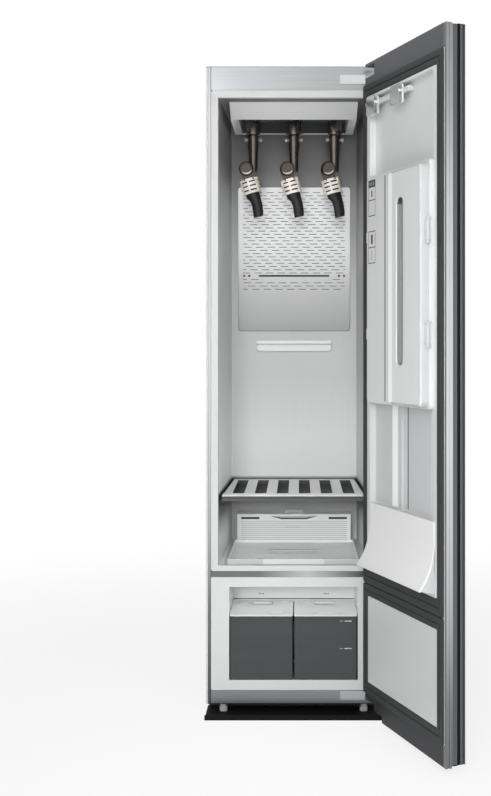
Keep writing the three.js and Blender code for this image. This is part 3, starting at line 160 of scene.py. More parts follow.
def pattern(shader: bpy.types.Node, size: float | Sequence[float], settings: Settings,
            kind: str = "ShaderNodeTexNoise", output: str | int = 0) -> Source:
    """Lays a pattern over the object.

    Args:
        shader: The shader of the material that takes it.
        size: The size of its marks in millimetres, or one size for each axis where they are drawn out.
        settings: The settings of the pattern's node.
        kind: Blender's name for that node.
        output: The output that is used.

    Returns:
        The node and its output.
    """
    tree, scale = shader.id_data, 1.0
    place = (add_node(tree, "ShaderNodeTexCoord"), "Object")
    if isinstance(size, float):
        scale = per_metre(size)
    else:
        place = (add_node(tree, "ShaderNodeMapping", {"Scale": [per_metre(part) for part in size]},
                          {"Vector": place}), "Vector")
    return (add_node(tree, kind, {"Scale": scale, **settings}, {"Vector": place}), output)


def along(shader: bpy.types.Node, axis: str, low: float, high: float) -> Source:
    """A value that goes from zero to one between two places on an axis of the object, in metres.

    Args:
        shader: The shader in whose tree it stands.
        axis: X, Y or Z.
        low: Where it is zero.
        high: Where it is one.

    Returns:
        The socket that gives the value.
    """
    tree = shader.id_data
    place = add_node(tree, "ShaderNodeTexCoord")
    axes = add_node(tree, "ShaderNodeSeparateXYZ", links={0: (place, "Object")})
    return (add_node(tree, "ShaderNodeMapRange", {"From Min": low, "From Max": high}, {"Value": (axes, axis)}),
            "Result")


@dataclass(frozen=True)
class Finish:
    """A surface: its base colour and gloss, what varies over it, and on some finishes light and shade painted in.

    Grades paint light and shade into its colour along an axis. They hold places in metres, each with the share of
    light kept there. A moulding or sheet whose front differs has that colour, and the millimetres behind the front
    plane where it ends and where the other colour is full.
    """

    name: str
    slot: str
    colour: str
    roughness: float
    metallic: float = 0.0
    gloss: float = 0.5
    grades: tuple[tuple[str, Stops], ...] = ()
    front: str = ""
    ends: Span = (0.0, 0.0)
    layers: ClassVar[Settings] = {}

    def sockets(self) -> Settings:
        """The shader's sockets that are the same all over."""
        return {"Base Color": linear(self.colour), "Roughness": self.roughness, "Metallic": self.metallic,
                "Specular IOR Level": self.gloss, **self.layers}

    def texture(self, shader: bpy.types.Node) -> None:
        """Adds what varies over the surface. The plain finish has nothing to add."""

    def material(self) -> bpy.types.Material:
        """The Blender material of this finish, made once.

        Returns:
            The material.
        """
        known = bpy.data.materials.get(self.name)
        if known is not None:
            return known
        made = bpy.data.materials.new(self.name)
        tree = empty_tree(made)
        shader = add_node(tree, "ShaderNodeBsdfPrincipled", self.sockets())
        add_node(tree, "ShaderNodeOutputMaterial", links={"Surface": (shader, "BSDF")})
        self.texture(shader)
        for axis, stops in self.grades:
            self.grade(shader, axis, stops)
        if self.front:
            depth = along(shader, "Y", self.ends[0] * MM, self.ends[1] * MM)
            self.blend(shader, {MIX_FIRST: linear(self.front)}, {MIX_FACTOR: depth}, MIX_SECOND)
        return made

    @staticmethod
    def blend(shader: bpy.types.Node, settings: Settings, links: Settings, base: int | None = None) -> None:
        """Puts a mix of colours before the shader.

        Args:
            shader: The shader whose base colour changes.
            settings: The mix's settings.
            links: What feeds the mix.
            base: The input that takes the colour so far, if it stays.
        """
        tree, colour = shader.id_data, shader.inputs["Base Color"]
        mix = add_node(tree, "ShaderNodeMix", {"data_type": "RGBA", **settings}, links)
        if base is not None:
            tree.links.new(colour.links[0].from_socket, mix.inputs[base])
        tree.links.new(mix.outputs[MIX_RESULT], colour)

    def mottle(self, shader: bpy.types.Node, source: Source, low: float, high: float) -> None:
        """Lets the base colour drift between two shares of its light."""
        self.blend(shader, {MIX_FIRST: linear(self.colour, low), MIX_SECOND: linear(self.colour, high)},
                   {MIX_FACTOR: source})

    def wear(self, shader: bpy.types.Node, source: Source, swing: float) -> None:
        """Lets the gloss drift around the finish's roughness, by a swing to either side.

        Args:
            shader: The shader that it feeds.
            source: The pattern that it follows.
            swing: How far the roughness goes to either side.
        """
        polish = add_node(shader.id_data, "ShaderNodeMapRange", {
            "To Min": self.roughness - swing, "To Max": self.roughness + swing,
        }, {"Value": source})
        shader.id_data.links.new(polish.outputs["Result"], shader.inputs["Roughness"])

    def grade(self, shader: bpy.types.Node, axis: str, stops: Stops) -> None:
        """Paints light and shade into the base colour, along the height or from side to side.

        Args:
            shader: The shader whose colour has its pattern by now.
            axis: The axis along which the stops are measured.
            stops: Places in metres, from the lowest up, each with the share of light kept there.
        """
        low, high = stops[0][0], stops[-1][0]
        ramp = add_node(shader.id_data, "ShaderNodeValToRGB", links={0: along(shader, axis, low, high)})
        colours = ramp.color_ramp.elements
        while len(colours) < len(stops):
            colours.new(0.5)
        for colour, (stop, _) in zip(colours, stops):
            colour.position = (stop - low) / (high - low)
        for colour, (_, share) in zip(colours, stops):
            colour.color = (share, share, share, 1.0)
        self.blend(shader, {"blend_type": "MULTIPLY", MIX_FACTOR: 1.0}, {MIX_SECOND: (ramp, "Color")}, MIX_FIRST)

    @staticmethod
    def relief(shader: bpy.types.Node, source: Source, depth: float, strength: float) -> None:
        """Raises and lowers the surface a little, by a depth in millimetres.

        Args:
            shader: The shader that it feeds.
            source: The pattern that it follows.
            depth: The depth in millimetres.
            strength: How much of it shows.
        """
        bump = add_node(shader.id_data, "ShaderNodeBump", {"Strength": strength, "Distance": depth * MM},
                        {"Height": source})
        shader.id_data.links.new(bump.outputs["Normal"], shader.inputs["Normal"])


@dataclass(frozen=True)
class MouldedPlastic(Finish):
    """Injection-moulded ABS, IOR 1.54. The spark-eroded mould leaves a fine grain that spreads its highlights."""

    grain: float = 1.2
    cloud: float = 220.0
    drift: float = 0.06
    layers: ClassVar[Settings] = {"IOR": 1.54}

    def texture(self, shader: bpy.types.Node) -> None:
        """The real grain is about 0.1 mm: it is drawn coarser, so that it shows from close by.

        Args:
            shader: The shader that it feeds.
        """
        cloud = pattern(shader, self.cloud, {"Detail": 2.0})
        self.relief(shader, pattern(shader, self.grain, {"Detail": 3.0}), 0.02, 0.5)
        self.mottle(shader, cloud, 1 - self.drift, 1.0)
        self.wear(shader, cloud, 0.06)


@dataclass(frozen=True)
class BrushedSteel(Finish):
    """Brushed stainless sheet, or sheet under a lacquer where it is less than wholly metallic.

    The belt leaves long fine scratches that draw highlights out across them.
    """

    metallic: float = 1.0
    grain: Grain = Grain.ALONG_X
    scratch: float = 2.2
    scratch_length: float = 240.0
    cloud: float = 160.0
    contrast: float = 0.14

    def texture(self, shader: bpy.types.Node) -> None:
        """Real scratches are 0.05 to 0.2 mm wide. They are drawn 2 mm wide, so that the eye finds them.

        Args:
            shader: The shader that it feeds.
        """
        stretch = [self.scratch_length if along_it else self.scratch for along_it in self.grain.value]
        scratches = pattern(shader, stretch, {"Detail": 4.0, "Roughness": 0.65})
        self.relief(shader, scratches, 0.03, 0.6)
        self.mottle(shader, scratches, 1 - 1.5 * self.contrast, 1 + self.contrast)
        self.wear(shader, pattern(shader, self.cloud, {"Detail": 2.0}), 0.1)


@dataclass(frozen=True)
class PolishedMetal(Finish):
    """Chrome or nickel plated over a polished casting. It mirrors the room, softly where it was handled."""

    metallic: float = 1.0
    smudge: float = 18.0

    def texture(self, shader: bpy.types.Node) -> None:
        """Finger marks and polishing marks are about as large as a finger tip.

        Args:
            shader: The shader that it feeds.
        """
        smudge = pattern(shader, self.smudge, {"Detail": 3.0})
        self.wear(shader, smudge, min(0.1, self.roughness))
        self.mottle(shader, smudge, 0.9, 1.0)


@dataclass(frozen=True)
class CoatedSteel(Finish):
    """Powder-coated steel sheet. The polyester powder, IOR 1.5, melts into a skin with a faint orange peel."""

    peel: float = 2.5
    dust: float = 225.0
    layers: ClassVar[Settings] = {"IOR": 1.5}

    def texture(self, shader: bpy.types.Node) -> None:
        """The waves of the peel are 2 to 3 mm long and a few micrometres high, drawn higher to show.

        Args:
            shader: The shader that it feeds.
        """
        dust = pattern(shader, self.dust, {"Detail": 2.0})
        self.relief(shader, pattern(shader, self.peel, {"Detail": 1.0}), 0.02, 0.5)
        self.mottle(shader, dust, 0.95, 1.02)
        self.wear(shader, dust, 0.06)


@dataclass(frozen=True)
class ExtrudedRubber(Finish):
    """Extruded EPDM, IOR 1.52. It is dull, scatters most of its gloss, and its die leaves faint lines along it."""

    gloss: float = 0.35
    line: float = 1.5
    talc: float = 90.0
    layers: ClassVar[Settings] = {"IOR": 1.52}

    def texture(self, shader: bpy.types.Node) -> None:
        """Talc and dust make pale clouds of about a hand's width."""
        self.relief(shader, pattern(shader, self.line, {"Detail": 2.0}), 0.03, 0.5)
        self.mottle(shader, pattern(shader, self.talc, {"Detail": 4.0}), 0.85, 1.15)


@dataclass(frozen=True)
class SmokedPlastic(Finish):
    """Smoked SAN, IOR 1.57. It is nearly opaque, very smooth, and has a hard clear gloss on top."""

    gloss: float = 0.4
    flow: tuple[float, float, float] = (400.0, 400.0, 70.0)
    layers: ClassVar[Settings] = {"IOR": 1.57, "Coat Weight": 0.2, "Coat Roughness": 0.08}

    def texture(self, shader: bpy.types.Node) -> None:
        """The melt's flow leaves wide soft bands, darker toward the floor of the mould."""
        self.mottle(shader, pattern(shader, self.flow, {"Detail": 2.0}), 0.75, 1.2)


@dataclass(frozen=True)
class MirrorGlass(Finish):
    """Float glass with a dark mirror coat behind it. The room shows in it, cool and dim.

    The coat behind gives a metal's tinted reflection, the glass before it a clear one.
    """

    metallic: float = 0.75
    coat: float = 900.0
    layers: ClassVar[Settings] = {"Coat Weight": 1.0, "Coat Roughness": 0.02, "Coat IOR": 1.52}

    def texture(self, shader: bpy.types.Node) -> None:
        """The sputtered coat is a little denser toward one end of the pane.

        Args:
            shader: The shader that it feeds.
        """
        coat = pattern(shader, self.coat, {"Detail": 1.0})
        self.mottle(shader, coat, 0.8, 1.2)
        self.wear(shader, coat, 0.04)


@dataclass(frozen=True)
class GalvanisedSteel(Finish):
    """Hot-dip galvanised sheet. Its zinc froze in crystals, each a little lighter or darker."""

    metallic: float = 1.0
    crystal: float = 9.0

    def texture(self, shader: bpy.types.Node) -> None:
        """Zinc crystals on sheet are 5 to 15 mm across.

        Args:
            shader: The shader that it feeds.
        """
        crystal = pattern(shader, self.crystal, {}, "ShaderNodeTexVoronoi", "Color")
        self.mottle(shader, crystal, 0.7, 1.1)
        self.wear(shader, crystal, 0.16)


@dataclass(frozen=True)
class CircuitBoard(Finish):
    """Glass-epoxy board under a green solder mask, with copper tracks that show through as lighter lines."""

    track: float = 6.0

    def texture(self, shader: bpy.types.Node) -> None:
        """Tracks run square to each other, a few millimetres apart."""
        tracks = pattern(shader, self.track, {"distance": "CHEBYCHEV"}, "ShaderNodeTexVoronoi", "Distance")
        self.mottle(shader, tracks, 0.7, 1.6)


@dataclass(frozen=True)
class PrintedInk(Finish):
    """Screen-printed ink. It lies flat and matt, and is a little uneven where the mesh lifted."""

    mesh: float = 0.5

    def texture(self, shader: bpy.types.Node) -> None:
        """The screen's mesh leaves marks of about half a millimetre."""
        self.mottle(shader, pattern(shader, self.mesh, {"Detail": 1.0}), 0.85, 1.1)


@dataclass(frozen=True)
class LitPrint(Finish):
    """A printed film lit from behind: it glows evenly, and a shade more in its middle."""

    glow: float = 0.55
    spread: float = 6.0

    def sockets(self) -> Settings:
        """The glow has the print's own colour."""
        return super().sockets() | {"Emission Color": linear(self.colour), "Emission Strength": self.glow}

    def texture(self, shader: bpy.types.Node) -> None:
        """The lamp behind spreads unevenly over a few millimetres."""
        self.mottle(shader, pattern(shader, self.spread, {"Detail": 1.0}), 0.8, 1.1)


# White and pale mouldings, several with light and shade painted into their colour as said above them.
WHITE_ABS = MouldedPlastic("moulded_white_abs", "white_plastic", "#E0E1E0", 0.36)
BRIGHT_ABS = MouldedPlastic("moulded_bright_abs", "white_plastic", "#F4F5F5", 0.32)
PANEL_ABS = MouldedPlastic("moulded_panel_abs", "white_plastic", "#D6D7D7", 0.32)
GREY_ABS = MouldedPlastic("moulded_grey_abs", "white_plastic", "#BEC0C1", 0.4)
# Painted shade: a darker grey for the press cover's finger groove and the shadow line on its base.
GROOVE_ABS_PAINTED_SHADE = MouldedPlastic("moulded_groove_abs", "white_plastic", "#86888A", 0.5)
# Painted shade: the door liner's white is darker below about one metre, with a lighter band near 0.45 m.
DOOR_LINER_ABS_SHADED = MouldedPlastic("moulded_liner_abs", "white_moulding", "#DADBDB", 0.34, grades=(
    ("Z", ((0.07, 0.82), (0.37, 0.82), (0.45, 0.95), (0.62, 0.82), (0.90, 0.85), (1.0, 0.97), (1.78, 1.0))),))
# Painted shade: the vent panel's white darkens from its head down to a third of its light at its foot.
VENT_ABS_SHADED = MouldedPlastic("graded_vent_abs", "white_plastic", "#FBFCFC", 0.34, grades=(
    ("Z", ((1.10, 0.33), (1.22, 0.48), (1.36, 0.78), (1.56, 1.0))),))
# Painted light and shade: the tray, the lids and the bay are painted brighter than white inside, where they stand in
# shade, and darker at their front, where the lamps fall full. The filter's mouldings share the tray's brighter white.
TRAY_ABS_PAINTED_LIGHT = MouldedPlastic("moulded_tray_abs", "white_plastic", "#F2F3F3", 0.3, front="#A6A8A8", ends=(70.0, 74.0))
LID_ABS_PAINTED_LIGHT = MouldedPlastic("moulded_lid_abs", "white_plastic", "#F6F7F7", 0.28, front="#BEC0C0", ends=(58.0, 61.0))
BAY_ABS_PAINTED_LIGHT = MouldedPlastic("moulded_bay_abs", "white_plastic", "#F8F9F9", 0.3, front="#BEC0BF", ends=(60.0, 64.0))

# Dark mouldings. A coarse matt mould takes away most of their gloss.
DARK_ABS = MouldedPlastic("moulded_dark_abs", "dark_plastic", "#434548", 0.5, gloss=0.25, drift=0.1)
EDGE_ABS = MouldedPlastic("moulded_edge_abs", "dark_plastic", "#505255", 0.45, gloss=0.35, drift=0.1)
# Dark plastic, also used as painted shade in slots, recesses and gaps.
DARK_AND_SHADE_ABS = MouldedPlastic("moulded_slot_dark", "dark_plastic", "#46484A", 0.6, gloss=0.3, drift=0.1)
TRIM_ABS = MouldedPlastic("moulded_trim_abs", "dark_plastic", "#6D6F72", 0.5, gloss=0.3)
# Painted shade: the door pan is darkest near its foot and lightens toward its head.
DOOR_PAN_ABS_SHADED = MouldedPlastic("graded_pan_abs", "dark_plastic", "#585A5E", 0.5, gloss=0.25, drift=0.1, grades=(
    ("Z", ((0.02, 0.26), (0.08, 0.26), (0.45, 0.42), (1.6, 0.6), (1.85, 1.0))),))
BLACK_ABS = MouldedPlastic("moulded_black_abs", "black_plastic", "#121213", 0.5, gloss=0.3, drift=0.1)
PLINTH_ABS = MouldedPlastic("moulded_plinth_abs", "black_plastic", "#101011", 0.7, gloss=0.15, drift=0.1)
SPOUT_ABS = MouldedPlastic("moulded_spout_abs", "black_plastic", "#1A1918", 0.28, drift=0.1)
TANK_SAN = SmokedPlastic("smoked_tank_san", "smoked_plastic", "#313334", 0.2)
SEAL_RUBBER = ExtrudedRubber("extruded_seal_epdm", "gasket_rubber", "#303132", 0.62)

# Satin silver film on pressed sheet, with light and shade painted in: the left wall painted brighter, a painted shadow
# under the shelf, painted shade toward the ceiling, and the inside painted brighter than the front flange.
LINER_STEEL_PAINTED_LIGHT = BrushedSteel("satin_liner_steel", "grey_liner", "#FAFBFB", 0.45, 0.1, grain=Grain.ALONG_Z,
                           contrast=0.04, front="#BEBFBE", ends=(70.0, 76.0), grades=(
    ("X", ((-0.236, 1.0), (-0.202, 1.0), (-0.199, 0.72), (0.236, 0.72))),
    ("Z", ((0.40, 1.0), (0.50, 0.8), (0.555, 0.21), (0.59, 0.05), (0.62, 0.05), (0.63, 0.96), (0.75, 0.93),
           (0.95, 0.75), (1.30, 0.62), (1.50, 0.47), (1.62, 0.26), (1.80, 0.27)))))

# Brushed rails and strips, several with light and shade painted into their colour as said above them.
RAIL_STEEL = BrushedSteel("brushed_rail_steel", "brushed_metal", "#B0B2B4", 0.3)
LOW_STEEL = BrushedSteel("brushed_low_steel", "brushed_metal", "#929496", 0.38)
# Painted highlight: the divider rail is painted bright in its middle and dark toward both ends.
DIVIDER_STEEL_PAINTED_HIGHLIGHT = BrushedSteel("crowned_rail_steel", "brushed_metal", "#D0D2D4", 0.38, grades=(
    ("X", ((-0.25, 0.36), (-0.10, 0.38), (0.0, 0.8), (0.04, 0.95), (0.1, 0.7), (0.18, 0.26), (0.25, 0.24))),))
# Painted reflection: the front strips are painted dark at their foot, brightest at about one metre and dimmer toward
# the top.
STRIP_STEEL_PAINTED_REFLECTION = BrushedSteel("brushed_strip_steel", "brushed_metal", "#E4E6E8", 0.34, grain=Grain.ALONG_Z, grades=(
    ("Z", ((0.03, 0.13), (0.1, 0.15), (0.3, 0.28), (0.55, 0.68), (0.9, 0.97), (1.05, 1.0), (1.4, 0.78),
           (1.85, 0.63))),))
# Painted shade: below the shelf's top face its steel is painted nearly black, the shade in its slots and under it.
SHELF_STEEL_PAINTED_SHADE = BrushedSteel("dipped_shelf_steel", "brushed_metal", "#E8EAEB", 0.4, 0.5, contrast=0.1, grades=(
    ("Z", ((0.604, 0.1), (0.6172, 0.1), (0.6184, 1.0), (0.62, 1.0))),))
FOOT_STEEL = BrushedSteel("turned_foot_steel", "bright_metal", "#BDBFC1", 0.35, 0.4)
# Painted reflection: the door's edge profile is painted dark at its foot, brightest at about one metre and dimmer
# toward the top.
EDGE_ALUMINIUM_PAINTED_REFLECTION = BrushedSteel("anodised_edge_aluminium", "edge_aluminium", "#C8CACB", 0.42, 0.6,
                              grain=Grain.ALONG_Z, contrast=0.04, grades=(
    ("Z", ((0.02, 0.28), (0.17, 0.36), (0.42, 0.74), (0.8, 1.0), (1.17, 0.97), (1.42, 0.85), (1.67, 0.57),
           (1.85, 0.45))),))
FIN_ALUMINIUM = BrushedSteel("rolled_fin_aluminium", "fin_aluminium", "#BFC3C6", 0.35, grain=Grain.ALONG_Z)

# Plated castings, bright or nearly black, and two of them under a milky lacquer.
BRIGHT_CHROME = PolishedMetal("polished_bright_chrome", "bright_metal", "#DADBDD", 0.16)
DARK_CHROME = PolishedMetal("polished_dark_chrome", "dark_chrome", "#7D7671", 0.3)
SOCKET_CHROME = PolishedMetal("polished_socket_chrome", "dark_chrome", "#A59D97", 0.28)
DISC_CHROME = PolishedMetal("polished_disc_chrome", "dark_chrome", "#5F5751", 0.36)
# Painted shade: the near-black rim of the dished cap on each elbow.
RIM_CHROME_PAINTED_SHADE = PolishedMetal("polished_rim_chrome", "dark_chrome", "#36322F", 0.4)
# Chrome of the pin heads, also the painted highlight of the elbows' crescents.
PIN_CHROME_AND_HIGHLIGHT = PolishedMetal("satin_pin_chrome", "bright_metal", "#BFBFBF", 0.36, 0.5)
BAND_CHROME = PolishedMetal("lacquered_band_chrome", "banded_chrome", "#F3ECE3", 0.3, 0.25)

# Sheet. The side panels are lighter along their front edge, and the zinc pan's front is black.
SIDE_STEEL = CoatedSteel("coated_side_steel", "painted_steel", "#9C9EA1", 0.4, 0.3)
SIDE_STEEL_PALE_FRONT = CoatedSteel("hemmed_side_steel", "painted_steel", "#9C9EA1", 0.4, 0.3, front="#C4C6C7", ends=(57.0, 58.5))
COMPRESSOR_STEEL = CoatedSteel("coated_compressor_steel", "black_steel", "#1D1E20", 0.45)
# Painted shade: the pan's front is black, the shade under the door.
PAN_ZINC_SHADED_FRONT = GalvanisedSteel("galvanised_pan", "zinc_steel", "#AEB2B4", 0.42, front="#242527", ends=(64.0, 68.0))

# The front: dark mirror glass, the board behind it, prints, and films lit from behind.
FRONT_GLASS = MirrorGlass("mirror_front_glass", "smoked_glass", "#565B63", 0.06)
BOARD = CircuitBoard("etched_circuit_board", "board_green", "#1F5A3C", 0.4)
DARK_INK = PrintedInk("printed_dark_ink", "black_plastic", "#2C2D2F", 0.55)
GREY_INK = PrintedInk("printed_grey_ink", "dark_plastic", "#8D9092", 0.55)
PALE_INK = PrintedInk("printed_pale_ink", "white_plastic", "#C6C9CA", 0.5)
LIT_GREY = LitPrint("lit_display_grey", "white_plastic", "#B7BCC2", 0.5)
LIT_WHITE = LitPrint("lit_tile_white", "white_plastic", "#E4E8EA", 0.5)
LIT_PINK = LitPrint("lit_tile_pink", "white_plastic", "#C98A92", 0.5)
LIT_ORANGE = LitPrint("lit_tile_orange", "white_plastic", "#C8714A", 0.5)
LIT_BLUE = LitPrint("lit_tile_blue", "white_plastic", "#8DB4E2", 0.5)


# Drawing planes: seen from above, from the front, from the side, and down a spout.
STANDING = Matrix.Identity(4)
FACING = Matrix(((1, 0, 0, 0), (0, 0, 1, 0), (0, 1, 0, 0), (0, 0, 0, 1)))
ACROSS = Matrix(((0, 0, 1, 0), (1, 0, 0, 0), (0, 1, 0, 0), (0, 0, 0, 1)))
DOWNWARD = Matrix(((1, 0, 0, 0), (0, 1, 0, 0), (0, 0, -1, 0), (0, 0, 0, 1)))


def arc(centre: Point, radius: float, start: float, sweep: float, steps: int) -> list[Point]:
    """Points along an arc, both ends included. Its start and its sweep are in degrees."""
    turns = [math.radians(start + sweep * at / steps) for at in range(steps + 1)]
    return [(centre[0] + radius * math.cos(turn), centre[1] + radius * math.sin(turn)) for turn in turns]


def circle(centre: Point, radius: float, sides: int) -> list[Point]:
    """Points around a circle.

    Args:
        centre: Its middle.
        radius: Its radius.
        sides: How many points it has.

    Returns:
        The points.
    """
    turn = 2 * math.pi / sides
    return [(centre[0] + radius * math.cos(turn * at), centre[1] + radius * math.sin(turn * at))
            for at in range(sides)]


def round_rect(span_a: Span, span_b: Span, radius: float, steps: int = 5) -> list[Point]:
    """Points around a rectangle with round corners.

    Args:
        span_a: Its two ends along the first axis.
        span_b: Its two ends along the second axis.
        radius: The corner radius.
        steps: Straight pieces in each corner.

    Returns:
        The points, once around.
    """
    (low_a, high_a), (low_b, high_b) = inset(span_a, radius), inset(span_b, radius)
    corners = [(high_a, high_b), (low_a, high_b), (low_a, low_b), (high_a, low_b)]
    return [point for quarter, corner in enumerate(corners) for point in arc(corner, radius, 90 * quarter, 90, steps)]


def inset(span: Span, distance: float) -> Span:
    """The span with both ends moved in."""
    return (span[0] + distance, span[1] - distance)


def around(middle: float, half: float) -> Span:
    """The span centred on a value."""
    return (middle - half, middle + half)


def both_ways(half: float) -> Span:
    """The span that reaches as far to either side of the middle plane."""
    return (-half, half)


def roll(radius: float, near: float, far: float, steps: int = 4) -> list[Point]:
    """A rounded front edge as insets and depths, from the side wall onto the face.

    Args:
        radius: The edge's radius.
        near: The depth of the face.
        far: A depth farther back, which says which way the wall runs.
        steps: Straight pieces in the quarter turn.

    Returns:
        Pairs of inset and depth.
    """
    way = 1 if far > near else -1
    turns = [math.pi / 2 * step / steps for step in range(steps + 1)]
    return [(radius * (1 - math.cos(turn)), near + way * radius * (1 - math.sin(turn))) for turn in turns]


class Skin:
    """Gathers the points and faces of one closed mesh on a drawing plane and turns them into an object."""

    def __init__(self, plane: Matrix) -> None:
        """Starts empty.

        Args:
            plane: Takes a point (a, b, depth) in metres to its place in the room.
        """
        self.plane = plane
        self.flat: list[Point] = []
        self.points: list[Vector] = []
        self.faces: list[tuple[int, ...]] = []
        self.coats: list[int] = []

    def place(self, corners: Iterable[tuple[float, float, float]]) -> list[int]:
        """Adds points of the drawing plane, each with its own depth, and gives back their numbers.

        Args:
            corners: The points, each with two coordinates and its depth.

        Returns:
            The numbers of its points.
        """
        start = len(self.points)
        for a, b, depth in corners:
            self.flat.append((a, b))
            self.points.append(self.plane @ (Vector((a, b, depth)) * MM))
        return list(range(start, len(self.points)))

    def ring(self, outline: Iterable[Point], depth: float) -> list[int]:
        """Adds points at one depth and gives back their numbers."""
        return self.place((a, b, depth) for a, b in outline)

    def rims(self, span_a: Span, span_b: Span, radius: float, profile: Sequence[Point],
             steps: int = 5) -> list[list[int]]:
        """Adds rings of a plate with round corners, along a profile of insets and depths."""
        return [self.ring(round_rect(inset(span_a, step), inset(span_b, step), max(radius - step, LEAST_RADIUS),
                                     steps), depth) for step, depth in profile]

    def face(self, corners: Sequence[int], coat: int = 0) -> None:
        """Adds one face with the number of its finish."""
        self.faces.append(tuple(corners))
        self.coats.append(coat)

    def bridge(self, first: Sequence[int], second: Sequence[int], coat: int = 0) -> None:
        """Joins two rings by a band of faces, or by a fan where one of them is a single point.

        Args:
            first: One ring.
            second: The other, or a single point.
            coat: The number of its finish.
        """
        for at in range(max(len(first), len(second))):
            corners = [ring[step % len(ring)] for ring, step in
                       ((first, at), (first, at + 1), (second, at + 1), (second, at))]
            self.face(list(dict.fromkeys(corners)), coat)

    def stack(self, rings: Sequence[Sequence[int]], coat: int = 0) -> None:
        """Joins each ring to the next."""
        for first, second in zip(rings, rings[1:]):
            self.bridge(first, second, coat)

    def cap(self, outer: Sequence[int], holes: Sequence[Sequence[int]] = (), coat: int = 0) -> None:
        """Closes a ring with a flat face, with holes if there are any.

        Args:
            outer: The ring around it.
            holes: The rings of its holes.
            coat: The number of its finish.
        """
        if not holes:
            self.face(outer, coat)
            return
        loops = [outer, *holes]
        order = [number for loop in loops for number in loop]
        flat = [[Vector((*self.flat[number], 0)) for number in loop] for loop in loops]
        for corners in tessellate_polygon(flat):
            self.face([order[corner] for corner in corners], coat)

    def solid(self, rings: Sequence[Sequence[int]], coat: int = 0) -> None:
        """Joins each ring to the next and closes both ends.

        Args:
            rings: Its rings, from one end to the other.
            coat: The number of its finish.
        """
        self.cap(rings[0], coat=coat)
        self.stack(rings, coat)
        self.cap(rings[-1], coat=coat)

    def cushion(self, span_a: Span, span_b: Span, radius: float, profile: Sequence[Point],
                coat: int = 0, steps: int = 5) -> None:
        """Adds a closed plate with round corners whose edge follows a profile of insets and depths."""
        self.solid(self.rims(span_a, span_b, radius, profile, steps), coat)

    def tile(self, span_a: Span, span_b: Span, depths: Span, coat: int = 0) -> None:
        """Adds a small closed block."""
        outline = [(span_a[0], span_b[0]), (span_a[1], span_b[0]), (span_a[1], span_b[1]), (span_a[0], span_b[1])]
        self.prism(outline, depths, coat)

    def prism(self, outline: Sequence[Point], depths: Span, coat: int = 0) -> None:
        """Adds a closed prism of an outline."""
        self.solid([self.ring(outline, depth) for depth in depths], coat)

    def turned(self, centre: Point, profile: Sequence[Point], sides: int) -> None:
        """Adds a turned solid.

        Args:
            centre: Where its axis crosses the drawing plane.
            profile: Pairs of radius and depth. It starts and ends on the axis, or closes on itself.
            sides: Faces around.
        """
        rings = [self.ring(circle(centre, radius, sides) if radius else [centre], depth)
                 for radius, depth in profile]
        self.stack(rings if profile[0][0] == 0 else [*rings, rings[0]])

    def pockets(self, span: Span, height: Span, front: float, rows: Sequence[tuple[Span, list[Span]]],
                depth: float, coat: int) -> list[int]:
        """Adds a flat field with rows of blind slots.

        Args:
            span: The field's two ends.
            height: Its foot and its head.
            front: The depth of its face.
            rows: From the lowest up, each row's height and its slots from left to right.
            depth: The depth of the slots' floors.
            coat: The number of the floors' finish.

        Returns:
            The ring around the field.
        """
        levels = [(height[0], span)]
        for heights, slots in rows:
            stops = [span[0], *[end for slot in slots for end in slot], span[1]]
            levels += [(level, stops) for level in heights]
        levels.append((height[1], span))
        lines = [self.ring([(stop, level) for stop in stops], front) for level, stops in levels]
        for lower, upper in zip(lines[::2], lines[1::2]):
            self.face([*lower, *reversed(upper)])
        for lower, upper in zip(lines[1:-1:2], lines[2:-1:2]):
            for cell in range(len(lower) - 1):
                corners = (lower[cell], lower[cell + 1], upper[cell + 1], upper[cell])
                if cell % 2 == 0:
                    self.face(corners)
                    continue
                floor = self.ring([self.flat[corner] for corner in corners], depth)
                self.bridge(corners, floor)
                self.cap(floor, coat=coat)
        inner = lines[1:-1]
        return [*lines[0], *[line[-1] for line in inner], *reversed(lines[-1]),
                *[line[0] for line in reversed(inner)]]

    def build(self, name: str, finishes: Sequence[Finish]) -> bpy.types.Object:
        """Makes the object.

        Args:
            name: The piece's name.
            finishes: The finishes that the faces' numbers stand for.

        Returns:
            A mesh object with its faces turned outward.
        """
        mesh = bpy.data.meshes.new(name)
        mesh.from_pydata(self.points, [], self.faces)
        mesh.polygons.foreach_set("material_index", self.coats)
        mesh.polygons.foreach_set("use_smooth", [True] * len(self.faces))
        work = bmesh.new()
        work.from_mesh(mesh)
        bmesh.ops.recalc_face_normals(work, faces=work.faces)
        work.to_mesh(mesh)
        work.free()
        mesh.set_sharp_from_angle(angle=SHARP_ANGLE)
        for finish in finishes:
            mesh.materials.append(finish.material())
        return add_object(name, mesh)


def add_object(name: str, data: bpy.types.ID) -> bpy.types.Object:
    """Puts a mesh, a lamp or a camera into the scene.

    Args:
        name: The object's name.
        data: What it shows.

    Returns:
        The object.
    """
    made = bpy.data.objects.new(name, data)
    bpy.context.scene.collection.objects.link(made)
    return made


